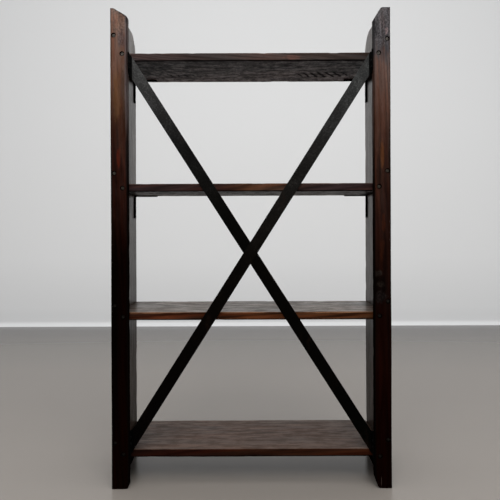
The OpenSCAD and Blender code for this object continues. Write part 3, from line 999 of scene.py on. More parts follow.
@dataclass(frozen=True)
class SteelFinish:
    """Blackened or dulled steel.

    Attributes:
        name: Name of the material.
        shade: Heights and the colour of the steel at each; where it grows lighter higher up, that is
            painted light.
        speckle: How much lighter the specks are.
        rust: Colour of the rust.
        rusting: How much rust shows.
        metallic: How far the surface is bare metal.
        roughness: Roughness of the surface.
        gloss: Strength of the reflections, where a half is plain.
        ior: Index of refraction of the surface.
        relief: Strength and depth of the relief.
        dark_shade: Colour of the painted shade, as on the straps' folds.
    """

    name: str
    shade: Shades
    speckle: float = 0.9
    rust: Colour = (40, 26, 20)
    rusting: float = 0.2
    metallic: float = 0.0
    roughness: float = 0.42
    gloss: float = 0.3
    ior: float = 1.1
    relief: Pair = (0.5, 0.0003)
    dark_shade: Colour = (2, 2, 2)

    def build(self) -> bpy.types.Material:
        """Makes the material.

        The colours by height, painted lighter higher up on the straps and screws, are multiplied by
        blotches and specks, and the painted shade and the rust are mixed in. The painted shade is dull,
        and the rust is rougher than the steel.

        Returns:
            The material.
        """
        material, graph, shader, place = bare_material(self.name)
        mottle = graph.group(EFFECTS.mottle, {"Vector": place})
        dark = graph.mark("dark")
        tone = graph.remap(mottle["Blotches"], 0.0, 1.0, 0.7, 1.4)
        tone = graph.times(tone, graph.times(mottle["Specks"], self.speckle, 1.0))
        colour = graph.toned(graph.shaded(graph.axis(place, "Z"), self.shade), tone)
        # The dark mark paints shade, as on the straps' folds
        colour = graph.mix(dark, colour, linear(self.dark_shade))
        rust = graph.times(mottle["Rust"], self.rusting)
        rough = graph.swayed(self.roughness, mottle["Blotches"], -0.2, middle=0.4)
        height = graph.times(mottle["Grit"], 0.4, mottle["Blotches"])
        height = graph.times(mottle["Specks"], 0.6, height)
        graph.feed(shader, {
            "Base Color": graph.mix(rust, colour, linear(self.rust)),
            "Roughness": graph.larger(graph.times(rust, 0.3, rough), dark),
            "Normal": graph.bump(height, *self.relief),
            "Metallic": self.metallic, "IOR": self.ior, "Specular IOR Level": self.gloss,
        })
        return material


def install(piece: bpy.types.Object, material: bpy.types.Material, node: str) -> bpy.types.Object:
    """Gives a new piece its material and ties it to the frame.

    Args:
        piece: The new piece, in place.
        material: Its finish.
        node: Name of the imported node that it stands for.

    Returns:
        The piece.
    """
    piece.data.materials.append(material)
    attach(piece, BODY)
    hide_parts(node)
    return piece


@dataclass
class Board:
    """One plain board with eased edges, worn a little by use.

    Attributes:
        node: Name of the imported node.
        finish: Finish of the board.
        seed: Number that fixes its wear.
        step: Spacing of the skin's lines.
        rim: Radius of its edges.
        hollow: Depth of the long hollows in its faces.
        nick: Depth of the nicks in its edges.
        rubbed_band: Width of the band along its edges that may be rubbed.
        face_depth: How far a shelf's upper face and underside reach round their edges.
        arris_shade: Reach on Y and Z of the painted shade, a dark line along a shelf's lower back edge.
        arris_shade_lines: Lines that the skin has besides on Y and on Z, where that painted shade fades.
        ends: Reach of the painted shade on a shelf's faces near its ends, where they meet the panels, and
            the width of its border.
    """

    node: str
    finish: WoodFinish
    seed: int
    step: float = 0.005
    rim: float = 0.0014
    hollow: float = 0.0005
    nick: float = 0.0014
    rubbed_band: float = 0.009
    face_depth: float = 0.0012
    arris_shade: Pair = (0.007, 0.0038)
    arris_shade_lines: tuple[Pair, Pair] = ((0.003, 0.0045), (0.0025, 0.0038))
    ends: Pair = (0.026, 0.012)

    def skin(self) -> Skin:
        """Shapes the board's skin, with a few lines more where the painted shade line lies.

        Returns:
            The skin.
        """
        low, high = node_box(self.node)
        lines = [ruled(low[a], high[a], self.step, self.rim) for a in (X, Y, Z)]
        for a, more in zip((Y, Z), self.arris_shade_lines):
            lines[a] = merged(lines[a], low[a] + np.array(more))
        made = Skin.from_lines(*lines)
        outline = [(x, y, 2 * self.rim) for x in (low[X], high[X]) for y in (low[Y], high[Y])]
        made.ease_rims(Z, outline, self.rim)
        made.wear_down(self.hollow, self.nick, self.seed, X)
        return made

    def marks(self, made: Skin) -> dict[str, Array]:
        """Values that the finish reads.

        The dark places are the board's ends, which are dark end grain, and on a shelf painted
        shade: a narrow line along the lower back edge, and both faces near the ends.

        Args:
            made: The board's skin.

        Returns:
            Nearness of an edge, dark places of end grain and painted shade, and on a shelf its
            upper face, its underside and its edges, which are bare of wax.
        """
        level = self.finish.grain is Grain.LEVEL
        run = made.lattice[:, X if level else Z]
        dark = 0.5 * ((run < run.min() + HAIR) | (run > run.max() - HAIR))
        marks = {"edge": np.clip(1 - made.edge_depth() / self.rubbed_band, 0, 1)}
        if level:
            low, high = made.corners()
            x, y, z = made.lattice.T
            away = np.hypot((y - low[Y]) / self.arris_shade[0], (z - low[Z]) / self.arris_shade[1])
            ends = np.clip((np.abs(x) - high[X] + self.ends[0]) / self.ends[1], 0, 1)
            marks["under"] = np.clip((low[Z] + self.face_depth - z) / self.face_depth, 0, 1)
            marks["top"] = np.clip((z - high[Z] + self.face_depth) / self.face_depth, 0, 1)
            marks["bare"] = 1 - np.maximum(marks["top"], marks["under"])
            # Painted shade: a dark line along the shelf's lower back edge
            dark = np.maximum(dark, 0.95 * np.clip(3 - 3 * away, 0, 1))
            # Painted shade on both faces near the ends, stronger on the underside
            dark = np.maximum(dark, ends * (0.85 * marks["under"] + 0.35 * marks["top"]))
        return marks | {"dark": dark}

    def build(self) -> list[bpy.types.Object]:
        """Builds the board and dresses it.

        Returns:
            The board alone.
        """
        made = self.skin()
        piece = made.to_object(self.node + "_board", self.marks(made))
        return [install(piece, self.finish.build(), self.node)]


@dataclass
class SidePanel(Board):
    """Side panel with its upper front corner rounded.

    Attributes:
        side: Side of the bookcase.
        corner: Radius of the upper front corner.
        corner_lines: Lines of the skin round that corner, on each axis.
        inner_depth: How far the inner face reaches round its edges.
        top_shelf_shadow: Heights between which the inner face is painted dark, the top shelf's shadow.
        bottom_shelf_shadow: Height below which the inner face is painted near black, the bottom shelf's
            shadow.
        bottom_shelf_shadow_border: Height of the border of that painted shadow.
    """

    side: Side = Side.LEFT
    corner: float = 0.06
    corner_lines: int = 12
    inner_depth: float = 0.001
    top_shelf_shadow: Pair = (1.054, 1.074)
    bottom_shelf_shadow: float = 0.074
    bottom_shelf_shadow_border: float = 0.012

    def skin(self) -> Skin:
        """Shapes the panel: a board on edge with one large rounded corner.

        Returns:
            The skin.
        """
        low, high = node_box(self.node)
        lines = [
            merged(ruled(low[a], high[a] - self.corner, self.step, self.rim, at_high=False),
                   high[a] - arc_lines(self.corner, self.corner_lines), high[a] - arc_lines(self.rim))
            for a in (Y, Z)
        ]
        made = Skin.from_lines(ruled(low[X], high[X], self.step, self.rim), *lines)
        outline = [
            (high[Y], high[Z], self.corner), (low[Y], high[Z], self.rim),
            (low[Y], low[Z], self.rim), (high[Y], low[Z], self.rim),
        ]
        made.ease_rims(X, outline, self.rim)
        made.wear_down(self.hollow, self.nick, self.seed, Z)
        return made

    def marks(self, made: Skin) -> dict[str, Array]:
        """A board's values, with painted shadow on two places of the inner face, under the top and the
        bottom shelf.

        Args:
            made: The panel's skin.

        Returns:
            The values.
        """
        values = super().marks(made)
        low, high = made.corners()
        x, _, z = made.lattice.T
        inner = np.abs(x) < min(abs(low[X]), abs(high[X])) + self.inner_depth
        # Painted shadow on the inner face under the top shelf and under the bottom shelf
        from_middle = np.abs(z - sum(self.top_shelf_shadow) / 2) / (self.top_shelf_shadow[1] - self.top_shelf_shadow[0])
        dark_shade = 0.85 * np.clip(1.4 - 1.6 * from_middle, 0, 1)
        bottom_shade = 0.95 * np.clip((self.bottom_shelf_shadow - z) / self.bottom_shelf_shadow_border, 0, 1)
        return values | {"dark": np.maximum(values["dark"], inner * np.maximum(dark_shade, bottom_shade))}


@dataclass
class RearStile(Board):
    """Stile with its top cut by hand, its foot worn and its screws in counterbores.

    Attributes:
        side: Side of the bookcase.
        top_cut: Width and height of the cut at the inner top corner.
        foot_wear: Width and height of the wear at the inner foot.
        bores: Places of the counterbores on X and Z.
        cut_radius: Radius of the cut's corners.
        wear_radius: Radius of the wear's corners.
        ends_from: How far from the top and from the foot the stile is pulled in.
        rear_edge: Radius of the rear edges.
        end_edge: Radius of the rear face's edges at the top and the foot.
        bore_radius: Radius of the counterbores.
        bore_depth: Depth of the counterbores.
        bore_reach: Half the width of the patch of skin that is drawn round a counterbore.
        floor_rings: Lines of the skin across a counterbore's floor, from its middle.
        wall_rings: Lines of the skin across its wall, from its middle.
        wall_radii: Radii of the wall's rings, once they are drawn round.
        wall_top: Depth of the wall's outer ring.
        clearance: How far the other lines stay from the patches on Z.
        line_gap: Least distance between two lines on X.
        depth_step: Spacing of the skin's lines through the stile.
        rim_shade: Width of the dark rims of the rear face.
        rim_shade_fade: Heights from low to high, and how dark these rims are at each.
        depth: How deep each point lies in a counterbore, once the skin is made.
    """

    step: float = 0.0042
    side: Side = Side.LEFT
    top_cut: Pair = (0.033, 0.021)
    foot_wear: Pair = (0.004, 0.008)
    bores: tuple[Pair, ...] = ()
    cut_radius: float = 0.008
    wear_radius: float = 0.004
    ends_from: Pair = (0.06, 0.055)
    rear_edge: float = 0.005
    end_edge: float = 0.002
    bore_radius: float = 0.006
    bore_depth: float = 0.006
    bore_reach: float = 0.009
    floor_rings: tuple[float, ...] = (0.0, 0.0015, 0.003, 0.0045)
    wall_rings: Pair = (0.0056, 0.0058)
    wall_radii: Pair = (0.00588, 0.00594)
    wall_top: float = 0.0006
    clearance: float = 0.001
    line_gap: float = 0.00012
    depth_step: float = 0.003
    # rim_shade: Width of the painted shade along the side edges of the rear face. rim_shade_fade: Heights
    # from low to high, and how dark that painted shade is at each.
    rim_shade: float = 0.0025
    rim_shade_fade: tuple[Pair, Pair] = ((0.8, 0.85), (0.95, 0.35))
    depth: Array | None = None

    def bore_lines(self, centres: set[float]) -> Array:
        """Lines across the patch, the rim, the wall and the floor of each counterbore.

        Args:
            centres: Middles of the counterbores on one axis.

        Returns:
            The lines.
        """
        half = np.array([*self.floor_rings, *self.wall_rings, self.bore_radius, self.bore_reach])
        ring = np.concatenate([-half[:0:-1], half])
        return np.concatenate([centre + ring for centre in sorted(centres)])

    def skin(self) -> Skin:
        """Shapes the stile.

        The counterbores are drawn as rings of the rear face. Then the edges are rounded,
        the inner rings sink to the counterbores' floors, and the ends are pulled in.
        Across the stile the patches of the counterbores reach from edge to edge, so it
        has no other lines there.

        Returns:
            The skin.
        """
        low, high = node_box(self.node)
        columns, rows = ({bore[k] for bore in self.bores} for k in (0, 1))
        edge = arc_lines(self.rear_edge, 6)[:-1]
        through = ruled(low[Y] + self.rear_edge, high[Y], self.depth_step, self.rim, at_low=False)
        rise = ruled(low[Z], high[Z], self.step, self.rim)
        away = np.min([np.abs(rise - row) for row in rows], axis=0)
        made = Skin.from_lines(
            merged(low[X] + edge, self.bore_lines(columns), high[X] - edge, gap=self.line_gap),
            merged(low[Y] + edge, through),
            merged(rise[away > self.bore_reach + self.clearance], self.bore_lines(rows)))
        self.depth = depth = self.draw_bores(made)
        for x in (low[X], high[X]):
            made.ease_edge((X, Y), (x, low[Y]), self.rear_edge)
            made.ease_edge((X, Y), (x, high[Y]), self.rim)
        for z in (low[Z], high[Z]):
            made.ease_edge((Y, Z), (low[Y], z), self.end_edge)
            made.ease_edge((Y, Z), (high[Y], z), self.rim)
        made.wear_down(self.hollow, self.nick, self.seed, Z, keep=(depth == 0).astype(float))
        inner = depth > 0
        made.points[inner, Y] = low[Y] + depth[inner]
        self.cut_ends(made)
        return made

    def marks(self, made: Skin) -> dict[str, Array]:
        """A board's values, with painted shade in the counterbores and along the rear face's side edges.

        Args:
            made: The stile's skin.

        Returns:
            The values.
        """
        values = super().marks(made)
        low, high = made.corners()
        x, _, z = made.lattice.T
        # Painted shade along the side edges, darker lower down, and in the counterbores
        rim = np.clip(1.3 - np.minimum(x - low[X], high[X] - x) / self.rim_shade, 0, 1)
        rim = rim * np.interp(z, *zip(*self.rim_shade_fade))
        return values | {"dark": np.where(self.depth > 0, 1.0, np.maximum(values["dark"], rim))}

    def draw_bores(self, made: Skin) -> Array:
        """Draws the rear face's lines round the counterbores.

        The square rings round a counterbore become round: a point at d goes to
        d * (1 + t * (max|d| / |d| - 1)), where t rises from zero at the patch's edge to
        one at the rim. The rings of the wall are drawn close to the rim, so that the wall
        is steep.

        Args:
            made: The skin, whose points move.

        Returns:
            The depth of each point under the rear face, which is zero outside the rims.
        """
        low, _ = made.corners()
        rear = made.lattice[:, Y] < low[Y] + HAIR
        depth = np.zeros(len(made.points))
        rings = [0, self.floor_rings[-1], *self.wall_rings, self.bore_radius]
        radii = [0, self.floor_rings[-1], *self.wall_radii, self.bore_radius]
        for bore in self.bores:
            offset = made.lattice[:, (X, Z)] - bore
            level = np.abs(offset).max(axis=1)
            patch = rear & (level < self.bore_reach - HAIR) & (level > HAIR)
            ring, away = level[patch], offset[patch]
            share = np.clip((self.bore_reach - ring) / (self.bore_reach - self.bore_radius), 0, 1)
            scale = 1 + share * (ring / np.linalg.norm(away, axis=1) - 1)
            scale = scale * np.where(ring < self.bore_radius, np.interp(ring, rings, radii) / ring, 1)
            moved = made.points[patch]
            moved[:, (X, Z)] = bore + away * scale[:, None]
            made.points[patch] = moved
            inner = rear & (level < self.bore_radius - HAIR)
            depth[inner] = np.interp(level[inner], self.wall_rings, (self.bore_depth, self.wall_top))
        return depth

    def cut_ends(self, made: Skin) -> None:
        """Pulls the ends in to the cut of the top and the wear of the foot.

        Above a level z0 near the top, z becomes z - cut(x) * (z - z0) / (top - z0), and
        the foot is treated the same way from below.

        Args:
            made: The skin, whose points move.
        """
        low, high = node_box(self.node)
        inner = low[X] if self.side is Side.RIGHT else high[X]
        away = np.abs(made.points[:, X] - inner)
        for end, base, cut, radius in (
            (high[Z], high[Z] - self.ends_from[0], self.top_cut, self.cut_radius),
            (low[Z], low[Z] + self.ends_from[1], self.foot_wear, self.wear_radius),
        ):
            lost = np.interp(away, *cut_profile(*cut, radius), right=0.0)
            share = np.clip((made.points[:, Z] - base) / (end - base), 0, None)
            made.points[:, Z] -= np.sign(end - base) * lost * share


@dataclass
class BraceStrap:
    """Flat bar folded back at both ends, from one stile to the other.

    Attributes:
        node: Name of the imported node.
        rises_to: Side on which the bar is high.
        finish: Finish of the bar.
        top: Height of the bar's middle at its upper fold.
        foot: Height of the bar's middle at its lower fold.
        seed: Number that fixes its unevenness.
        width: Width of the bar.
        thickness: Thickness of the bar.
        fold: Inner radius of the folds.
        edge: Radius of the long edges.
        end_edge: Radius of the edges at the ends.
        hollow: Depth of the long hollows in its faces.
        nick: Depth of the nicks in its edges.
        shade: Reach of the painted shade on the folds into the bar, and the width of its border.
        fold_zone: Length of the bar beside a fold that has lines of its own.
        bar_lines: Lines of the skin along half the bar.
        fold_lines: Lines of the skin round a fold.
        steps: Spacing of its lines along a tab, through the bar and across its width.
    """

    node: str
    rises_to: Side
    finish: SteelFinish
    top: float
    foot: float
    seed: int
    width: float = 0.030
    thickness: float = 0.003
    fold: float = 0.002
    edge: float = 0.0007
    end_edge: float = 0.0004
    hollow: float = 0.00016
    nick: float = 0.0005
    shade: Pair = (0.0038, 0.001)
    fold_zone: float = 0.005
    bar_lines: int = 96
    fold_lines: int = 10
    steps: Place = (0.002, 0.0008, 0.0028)

    def half_bar(self) -> float:
        """Half the length of the straight bar between the folds."""
        return node_box(self.node)[1][X] - self.thickness - self.fold

    def skin(self) -> Skin:
        """Shapes the strap as a straight bar that is then folded and sloped.

        The lattice's X runs along the bar's middle line, Y across its thickness and Z
        from its lower to its upper edge. The plan is a straight tab, a quarter turn, the
        bar, a quarter turn and a tab. The height of the middle rises with the slope in
        the bar and in the tabs and is level in the folds. The upper tab is cut level at
        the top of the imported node.

        Returns:
            The skin.
        """
        low, high = node_box(self.node)
        bar, half_t = self.half_bar(), self.thickness / 2
        radius = self.fold + half_t
        slope = (self.top - self.foot) / (2 * bar)
        half_h = self.width / 2 * math.hypot(1, slope)
        fold_y = high[Y] - self.thickness - self.fold
        turn, tab = radius * math.pi / 2, fold_y - low[Y]
        tab_step, through_step, rise_step = self.steps
        half = merged(
            np.linspace(0, bar - self.fold_zone, self.bar_lines),
            bar - self.shade[0] + np.array([0.0, self.shade[1]]),
            bar + np.linspace(0, turn, self.fold_lines),
            bar + turn + ruled(0, tab, tab_step, self.end_edge, at_low=False)[1:])
        runs = np.concatenate([-half[:0:-1], half])
        through = ruled(-half_t, half_t, through_step, self.edge)
        made = Skin.from_lines(runs, through, ruled(0, 2 * half_h, rise_step, self.edge))
        for y in (-half_t, half_t):
            for z in (0.0, 2 * half_h):
                made.ease_edge((Y, Z), (y, z), self.edge)
        for x in (-(bar + turn + tab), bar + turn + tab):
            for y in (-half_t, half_t):
                made.ease_edge((X, Y), (x, y), self.end_edge)
        made.wear_down(self.hollow, self.nick, self.seed, X)

        run, across, up = made.points.T
        away, side = np.abs(run), np.sign(run)
        angle = np.clip((away - bar) / radius, 0, math.pi / 2)
        past = np.clip(away - bar - turn, 0, None)
        inner = radius - across
        x = np.minimum(away, bar) + inner * np.sin(angle)
        y = fold_y + inner * np.cos(angle) - past
        level = (self.top + self.foot) / 2 + slope * side * (np.minimum(away, bar) + past)
        top = np.where(side > 0, np.minimum(level + half_h, high[Z]), level + half_h)
        z = level - half_h + (top - level + half_h) * up / (2 * half_h)
        made.points = np.stack([x * side * self.rises_to.value, y, z], axis=1)
        # Y now runs the other way, which turns the faces round unless X does so too
        if self.rises_to is Side.RIGHT:
            made.quads = made.quads[:, ::-1]
        return made

    def build(self) -> list[bpy.types.Object]:
        """Builds the strap and dresses it.

        Returns:
            The strap alone.
        """
        made = self.skin()
        # Painted shade on the folds and the tabs
        folded = np.abs(made.lattice[:, X]) - self.half_bar() + self.shade[0]
        marks = {"dark": 0.95 * np.clip(folded / self.shade[1], 0, 1)}
        piece = made.to_object(self.node + "_bar", marks, sharp=50)
        return [install(piece, self.finish.build(), self.node)]


@dataclass
class Ironmongery:
    """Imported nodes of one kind, which keep their shapes: brackets, screws or dowels.

    Attributes:
        finish: Their finish.
        nodes: Their names.
    """

    finish: SteelFinish | WoodFinish
    nodes: tuple[str, ...]

    def build(self) -> list[bpy.types.Object]:
        """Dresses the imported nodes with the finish.

        Returns:
            The nodes' objects.
        """
        material = self.finish.build()
        pieces = [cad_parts[node] for node in self.nodes]
        for piece in pieces:
            piece.data.materials.clear()
            piece.data.materials.append(material)
        return pieces


@dataclass(frozen=True)
class Lamp:
    """Soft area light that looks at a point.

    Attributes:
        name: Its name.
        place: Where it hangs.
        aim: The point that it looks at.
        size: Its width and height.
        power: Its power in watts.
        colour: Its colour.
    """

    name: str
    place: Place
    aim: Place
    size: Pair
    power: float
    colour: Place

    def build(self) -> None:
        """Adds the light to the scene."""
        data = bpy.data.lights.new(self.name, "AREA")
        data.shape = "RECTANGLE"
        data.size, data.size_y = self.size
        data.energy = self.power
        data.color = self.colour
        piece = linked(self.name, data)
        piece.location = self.place
        way = np.array(self.aim) - np.array(self.place)
        pitch = math.atan2(math.hypot(way[0], way[1]), -way[2])
        piece.rotation_euler = (pitch, 0, math.atan2(-way[0], way[1]))


@dataclass
class Studio:
    """Floor and wall with painted shade and light in their colours, soft lights and the camera.

    Attributes:
        wall_y: Place of the wall.
        cove: Radius of the curve between floor and wall.
        half_width: Half the width of the floor and the wall.
        reach: How far the floor reaches on the camera's side, and how high the wall is.
        floor: Places on Y and the colour of the floor at each, painted darker towards the wall as shade.
        wall: Heights and the colour of the wall at each, painted brighter low down as light.
        floor_rough: Roughness of the floor, a lightly polished one.
        wall_rough: Roughness of the wall.
        gloss: Strength of their reflections, where a half is plain.
        tint: Colour of the room's light.
        pale: Brightness of the room in view and in reflections.
        ambient: Brightness of the room as a light.
        lamps: The soft lights.
        eye: Place of the camera.
        lens: Focal length in millimetres.
        sensor: Width of the camera's sensor in millimetres.
        shift: Shift of the picture upwards, as a share of its width.
        roll: Turn of the camera round its axis, in degrees.
    """

    wall_y: float = 2.26
    cove: float = 0.03
    half_width: float = 4.5
    reach: float = 4.0
    # Painted shade: the floor darkens towards the wall
    floor: Shades = (
        (-0.3, (137, 131, 125)), (0.05, (134, 128, 122)), (0.3, (129, 123, 117)), (0.6, (124, 118, 112)),
        (1.07, (121, 115, 109)), (1.6, (109, 104, 99)), (2.08, (86, 82, 79)),
    )
    # Painted light: the wall is brighter low down and dimmer high up
    wall: Shades = (
        (0.0, (218, 219, 220)), (0.12, (228, 229, 230)), (0.45, (230, 231, 232)), (1.3, (217, 218, 219)),
        (2.2, (199, 200, 201)),
    )
    floor_rough: float = 0.24
    wall_rough: float = 0.55
    gloss: float = 0.3
    tint: Place = (0.985, 0.99, 1.0)
    pale: float = 0.57
    ambient: float = 0.34
    lamps: tuple[Lamp, ...] = (
        Lamp("key", (0.2, -2.7, 2.9), (0.0, 0.0, 0.75), (3.4, 1.8), 95, (1.0, 0.985, 0.96)),
        Lamp("window", (3.6, -1.2, 1.6), (0.0, 0.6, 0.5), (1.8, 2.0), 9, (0.95, 0.98, 1.0)),
        Lamp("ceiling", (0.0, 0.0, 3.4), (0.0, 2.2, 0.2), (5.0, 3.0), 84, (1.0, 1.0, 1.0)),
    )
    eye: Place = (-0.0025, -1.5555, 0.654)
    lens: float = 41.55
    sensor: float = 36.0
    shift: float = -0.0472
    roll: float = 0.22

    def surface(self, name: str, path: Array, axis: str, shade: Shades, rough: float) -> bpy.types.Object:
        """Sweeps a path in Y and Z across X and gives it a finish whose colour changes along one axis.

        Args:
            name: Name of the piece.
            path: Places on Y and Z.
            axis: Axis along which its colour changes.
            shade: Places on that axis and its colour at each.
            rough: Roughness of its surface.

        Returns:
            The piece.
        """
        count = len(path)
        points = np.zeros((2 * count, 3))
        points[:count, X], points[count:, X] = -self.half_width, self.half_width
        points[:, Y:] = np.concatenate([path, path])
        row = np.arange(count - 1)
        quads = np.stack([row, row + count, row + count + 1, row + 1], axis=1)
        mesh = bpy.data.meshes.new(name)
        mesh.from_pydata(points.tolist(), [], quads.tolist())
        material, graph, shader, place = bare_material(name)
        graph.feed(shader, {
            "Base Color": graph.shaded(graph.axis(place, axis), shade), "Roughness": rough,
            "Specular IOR Level": self.gloss,
        })
        mesh.materials.append(material)
        piece = linked(name, mesh)
        return piece

    def room(self) -> bpy.types.World:
        """Makes the world: paler in view and in reflections than it is as a light.

        Returns:
            The world.
        """
        world = bpy.data.worlds.new("room")
        world.use_nodes = True
        graph = Graph(world.node_tree)
        path = graph.node("LightPath").outputs
        seen = graph.larger(path["Is Camera Ray"], path["Is Glossy Ray"])
        seen = graph.larger(seen, path["Is Transmission Ray"])
        strength = graph.times(seen, self.pale - self.ambient, self.ambient)
        background = world.node_tree.nodes["Background"]
        graph.feed(background, {"Color": (*self.tint, 1.0), "Strength": strength})
        return world

    def camera(self) -> bpy.types.Object:
        """Sets up the camera, level and turned a little round its axis.

        Returns:
            The camera.
        """
        data = bpy.data.cameras.new("camera")
        data.lens, data.sensor_width, data.shift_y = self.lens, self.sensor, self.shift
        camera = linked("camera", data)
        camera.location = self.eye
        camera.rotation_euler = (math.pi / 2, math.radians(self.roll), 0.0)
        return camera

    def build(self) -> list[bpy.types.Object]:
        """Builds the floor, the wall with its cove, the lights, the world and the camera.

        Returns:
            The floor and the wall.
        """
        cove_y = self.wall_y - self.cove
        angles = np.linspace(0, math.pi / 2, 9)
        turn = np.stack([cove_y + self.cove * np.sin(angles), self.cove * (1 - np.cos(angles))], axis=1)
        level = np.array([[-self.reach, 0.0], [cove_y, 0.0]])
        upright = np.concatenate([turn, [[self.wall_y, self.reach]]])
        pieces = [
            self.surface("floor", level, "Y", self.floor, self.floor_rough),
            self.surface("wall", upright, "Z", self.wall, self.wall_rough),
        ]
        for lamp in self.lamps:
            lamp.build()
        scene = bpy.context.scene
        scene.world = self.room()
        scene.camera = self.camera()
        scene.view_settings.view_transform = "Standard"
        return pieces


# Colours up each stile: the wood's stains with painted light over them. Each stile is painted near black
# low down and lighter towards the top, where the lamps fall. The right stile's grey top above 1.09 is a
# painted sheen.
STILE_STAINS_AND_PAINTED_LIGHT = {
    Side.LEFT: (
        (0.0, (10, 3, 1)), (0.30, (9, 2, 1)), (0.55, (9, 3, 2)), (0.70, (22, 8, 5)), (0.82, (34, 15, 9)),
        (0.92, (60, 37, 25)), (1.02, (76, 51, 38)), (1.12, (82, 58, 47)), (1.2, (93, 69, 57)),
    ),
    Side.RIGHT: (
        (0.0, (9, 2, 1)), (0.30, (13, 3, 2)), (0.55, (22, 10, 7)), (0.72, (30, 15, 11)),
        (0.82, (46, 28, 21)), (0.92, (68, 48, 40)), (1.065, (74, 57, 51)), (1.09, (52, 48, 50)),
        (1.2, (56, 52, 54)),
    ),
}
# Place on Y of the stiles' rear faces, and how deep a patch on them goes
REAR = float(node_box("left_rear_stile")[0][Y])
SPOT_DEPTH = 0.03


def spot(x: float, z: float, reach_x: float, reach_z: float, colour: Colour, *looks: float,
         **more: float) -> Patch:
    """Patch on the rear face of a stile and round its edges.

    Args:
        x: Place of its middle on X.
        z: Place of its middle on Z.
        reach_x: How far it goes on X.
        reach_z: How far it goes on Z.
        colour: Its colour.
        looks: Its strength, raggedness, swirl and grit.
        more: The same by name.

    Returns:
        The patch.
    """
    return Patch((x, REAR, z), (reach_x, SPOT_DEPTH, reach_z), colour, *looks, **more)


# Knots, chips and marks, with painted light: a painted highlight on the left inner edge, painted sheen on
# the grey tops
STILE_PATCHES_AND_SHEEN = {
    Side.LEFT: (
        spot(-0.328, 1.175, 0.03, 0.05, (92, 72, 63), 0.5, 0.8, grit=0.5),
        spot(-0.338, 1.176, 0.009, 0.012, (128, 90, 72), 0.4, 2.2),
        spot(-0.334, 1.158, 0.008, 0.010, (118, 84, 66), 0.35, 2.2),
        spot(-0.336, 1.165, 0.004, 0.007, (84, 48, 34), 0.6, 1.2),
        spot(-0.322, 1.125, 0.011, 0.024, (58, 48, 50), 0.55, 1.6, grit=0.6),
        # Painted highlight along the inner edge
        spot(-0.3085, 1.06, 0.006, 0.18, (80, 73, 75), 0.65, 0.5),
        spot(-0.333, 0.985, 0.010, 0.07, (92, 62, 36), 0.5, 1.2),
        spot(-0.3295, 0.828, 0.005, 0.030, (66, 20, 6), 0.75, 1.2),
        spot(-0.308, 0.79, 0.005, 0.10, (12, 7, 6), 0.7, 0.8),
        spot(-0.333, 1.197, 0.008, 0.006, (22, 18, 18), 0.8, 1.4),
        spot(-0.322, 1.190, 0.007, 0.006, (30, 26, 26), 0.8, 1.6),
        spot(-0.313, 1.184, 0.007, 0.007, (18, 15, 15), 0.8, 1.4),
        spot(-0.3085, 1.173, 0.004, 0.012, (34, 30, 32), 0.7, 1.0),
        spot(-0.347, 0.40, 0.017, 0.33, (3, 2, 1), 0.8, 0.5),
    ),
    Side.RIGHT: (
        # Painted sheen over the grey top
        spot(0.328, 1.160, 0.03, 0.065, (60, 57, 60), 0.7, 0.5, grit=0.8),
        spot(0.330, 1.165, 0.010, 0.022, (70, 60, 60), 0.5, 1.6, grit=0.5),
        spot(0.339, 1.138, 0.004, 0.012, (124, 102, 102), 0.45, 2.2, grit=0.6),
        spot(0.311, 1.165, 0.008, 0.045, (26, 26, 29), 0.7, 1.6, grit=0.8),
        spot(0.330, 1.2, 0.020, 0.004, (22, 20, 22), 0.7, 0.8),
        spot(0.3275, 0.833, 0.006, 0.035, (84, 50, 26), 0.5, 1.3),
        spot(0.347, 0.85, 0.004, 0.06, (20, 14, 12), 0.6, 1.2),
        spot(0.318, 0.79, 0.006, 0.05, (14, 8, 6), 0.6),
        spot(0.330, 0.66, 0.005, 0.022, (56, 25, 12), 0.45, 1.8),
        spot(0.327, 0.60, 0.006, 0.030, (48, 22, 11), 0.35, 2.4),
        spot(0.321, 0.500, 0.018, 0.040, (10, 6, 5), 0.85, 1.2),
        spot(0.316, 0.536, 0.011, 0.008, (30, 25, 22), 0.8, 2.0, grit=0.4),
        spot(0.322, 0.508, 0.012, 0.007, (26, 21, 18), 0.8, 2.0, grit=0.4),
        spot(0.322, 0.476, 0.015, 0.016, (27, 22, 21), 0.8, 2.2, 0.6, 0.4),
        spot(0.3225, 0.018, 0.0009, 0.013, (80, 68, 62), 0.5, 0.3),
        spot(0.322, 0.34, 0.006, 0.14, (22, 5, 3), 0.4, 0.8),
    ),
}
# Widths and heights of the cuts at the stiles' tops and of the wear at their feet
TOP_CUTS = {Side.LEFT: (0.033, 0.021), Side.RIGHT: (0.019, 0.031)}
FOOT_WEARS = {Side.LEFT: (0.004, 0.008), Side.RIGHT: (0.010, 0.027)}
# Heights of the screws into the panels above the shelves' upper faces, from the top down
PANEL_SCREW_RISES = {Side.LEFT: (0.039, 0.025, 0.019, 0.023), Side.RIGHT: (0.028, 0.029, 0.028, 0.029)}
# How far the screws into the shelves lie above the shelves' middles, from the top down
SHELF_SCREW_LIFTS = {Side.LEFT: (0.003, -0.002, 0.001, 0.005), Side.RIGHT: (0.003, 0.0, 0.002, -0.002)}
# How far these screws lie from the shelves' ends
SHELF_SCREW_INSET = 0.012


def bores(side: Side) -> tuple[Pair, ...]:
    """Places of a stile's counterbores on X and Z.

    Four lie over the middle of the panel's edge, and four over the ends of the shelves.

    Args:
        side: Side of the bookcase.

    Returns:
        The places.
    """
    panel_x = middle(side.name.lower() + "_side_panel")[X]
    places = []
    for shelf, rise, lift in zip(SHELVES, PANEL_SCREW_RISES[side], SHELF_SCREW_LIFTS[side]):
        _, high = node_box(shelf)
        shelf_x = side.value * (high[X] - SHELF_SCREW_INSET)
        places += [(panel_x, high[Z] + rise), (shelf_x, middle(shelf)[Z] + lift)]
    return tuple(places)


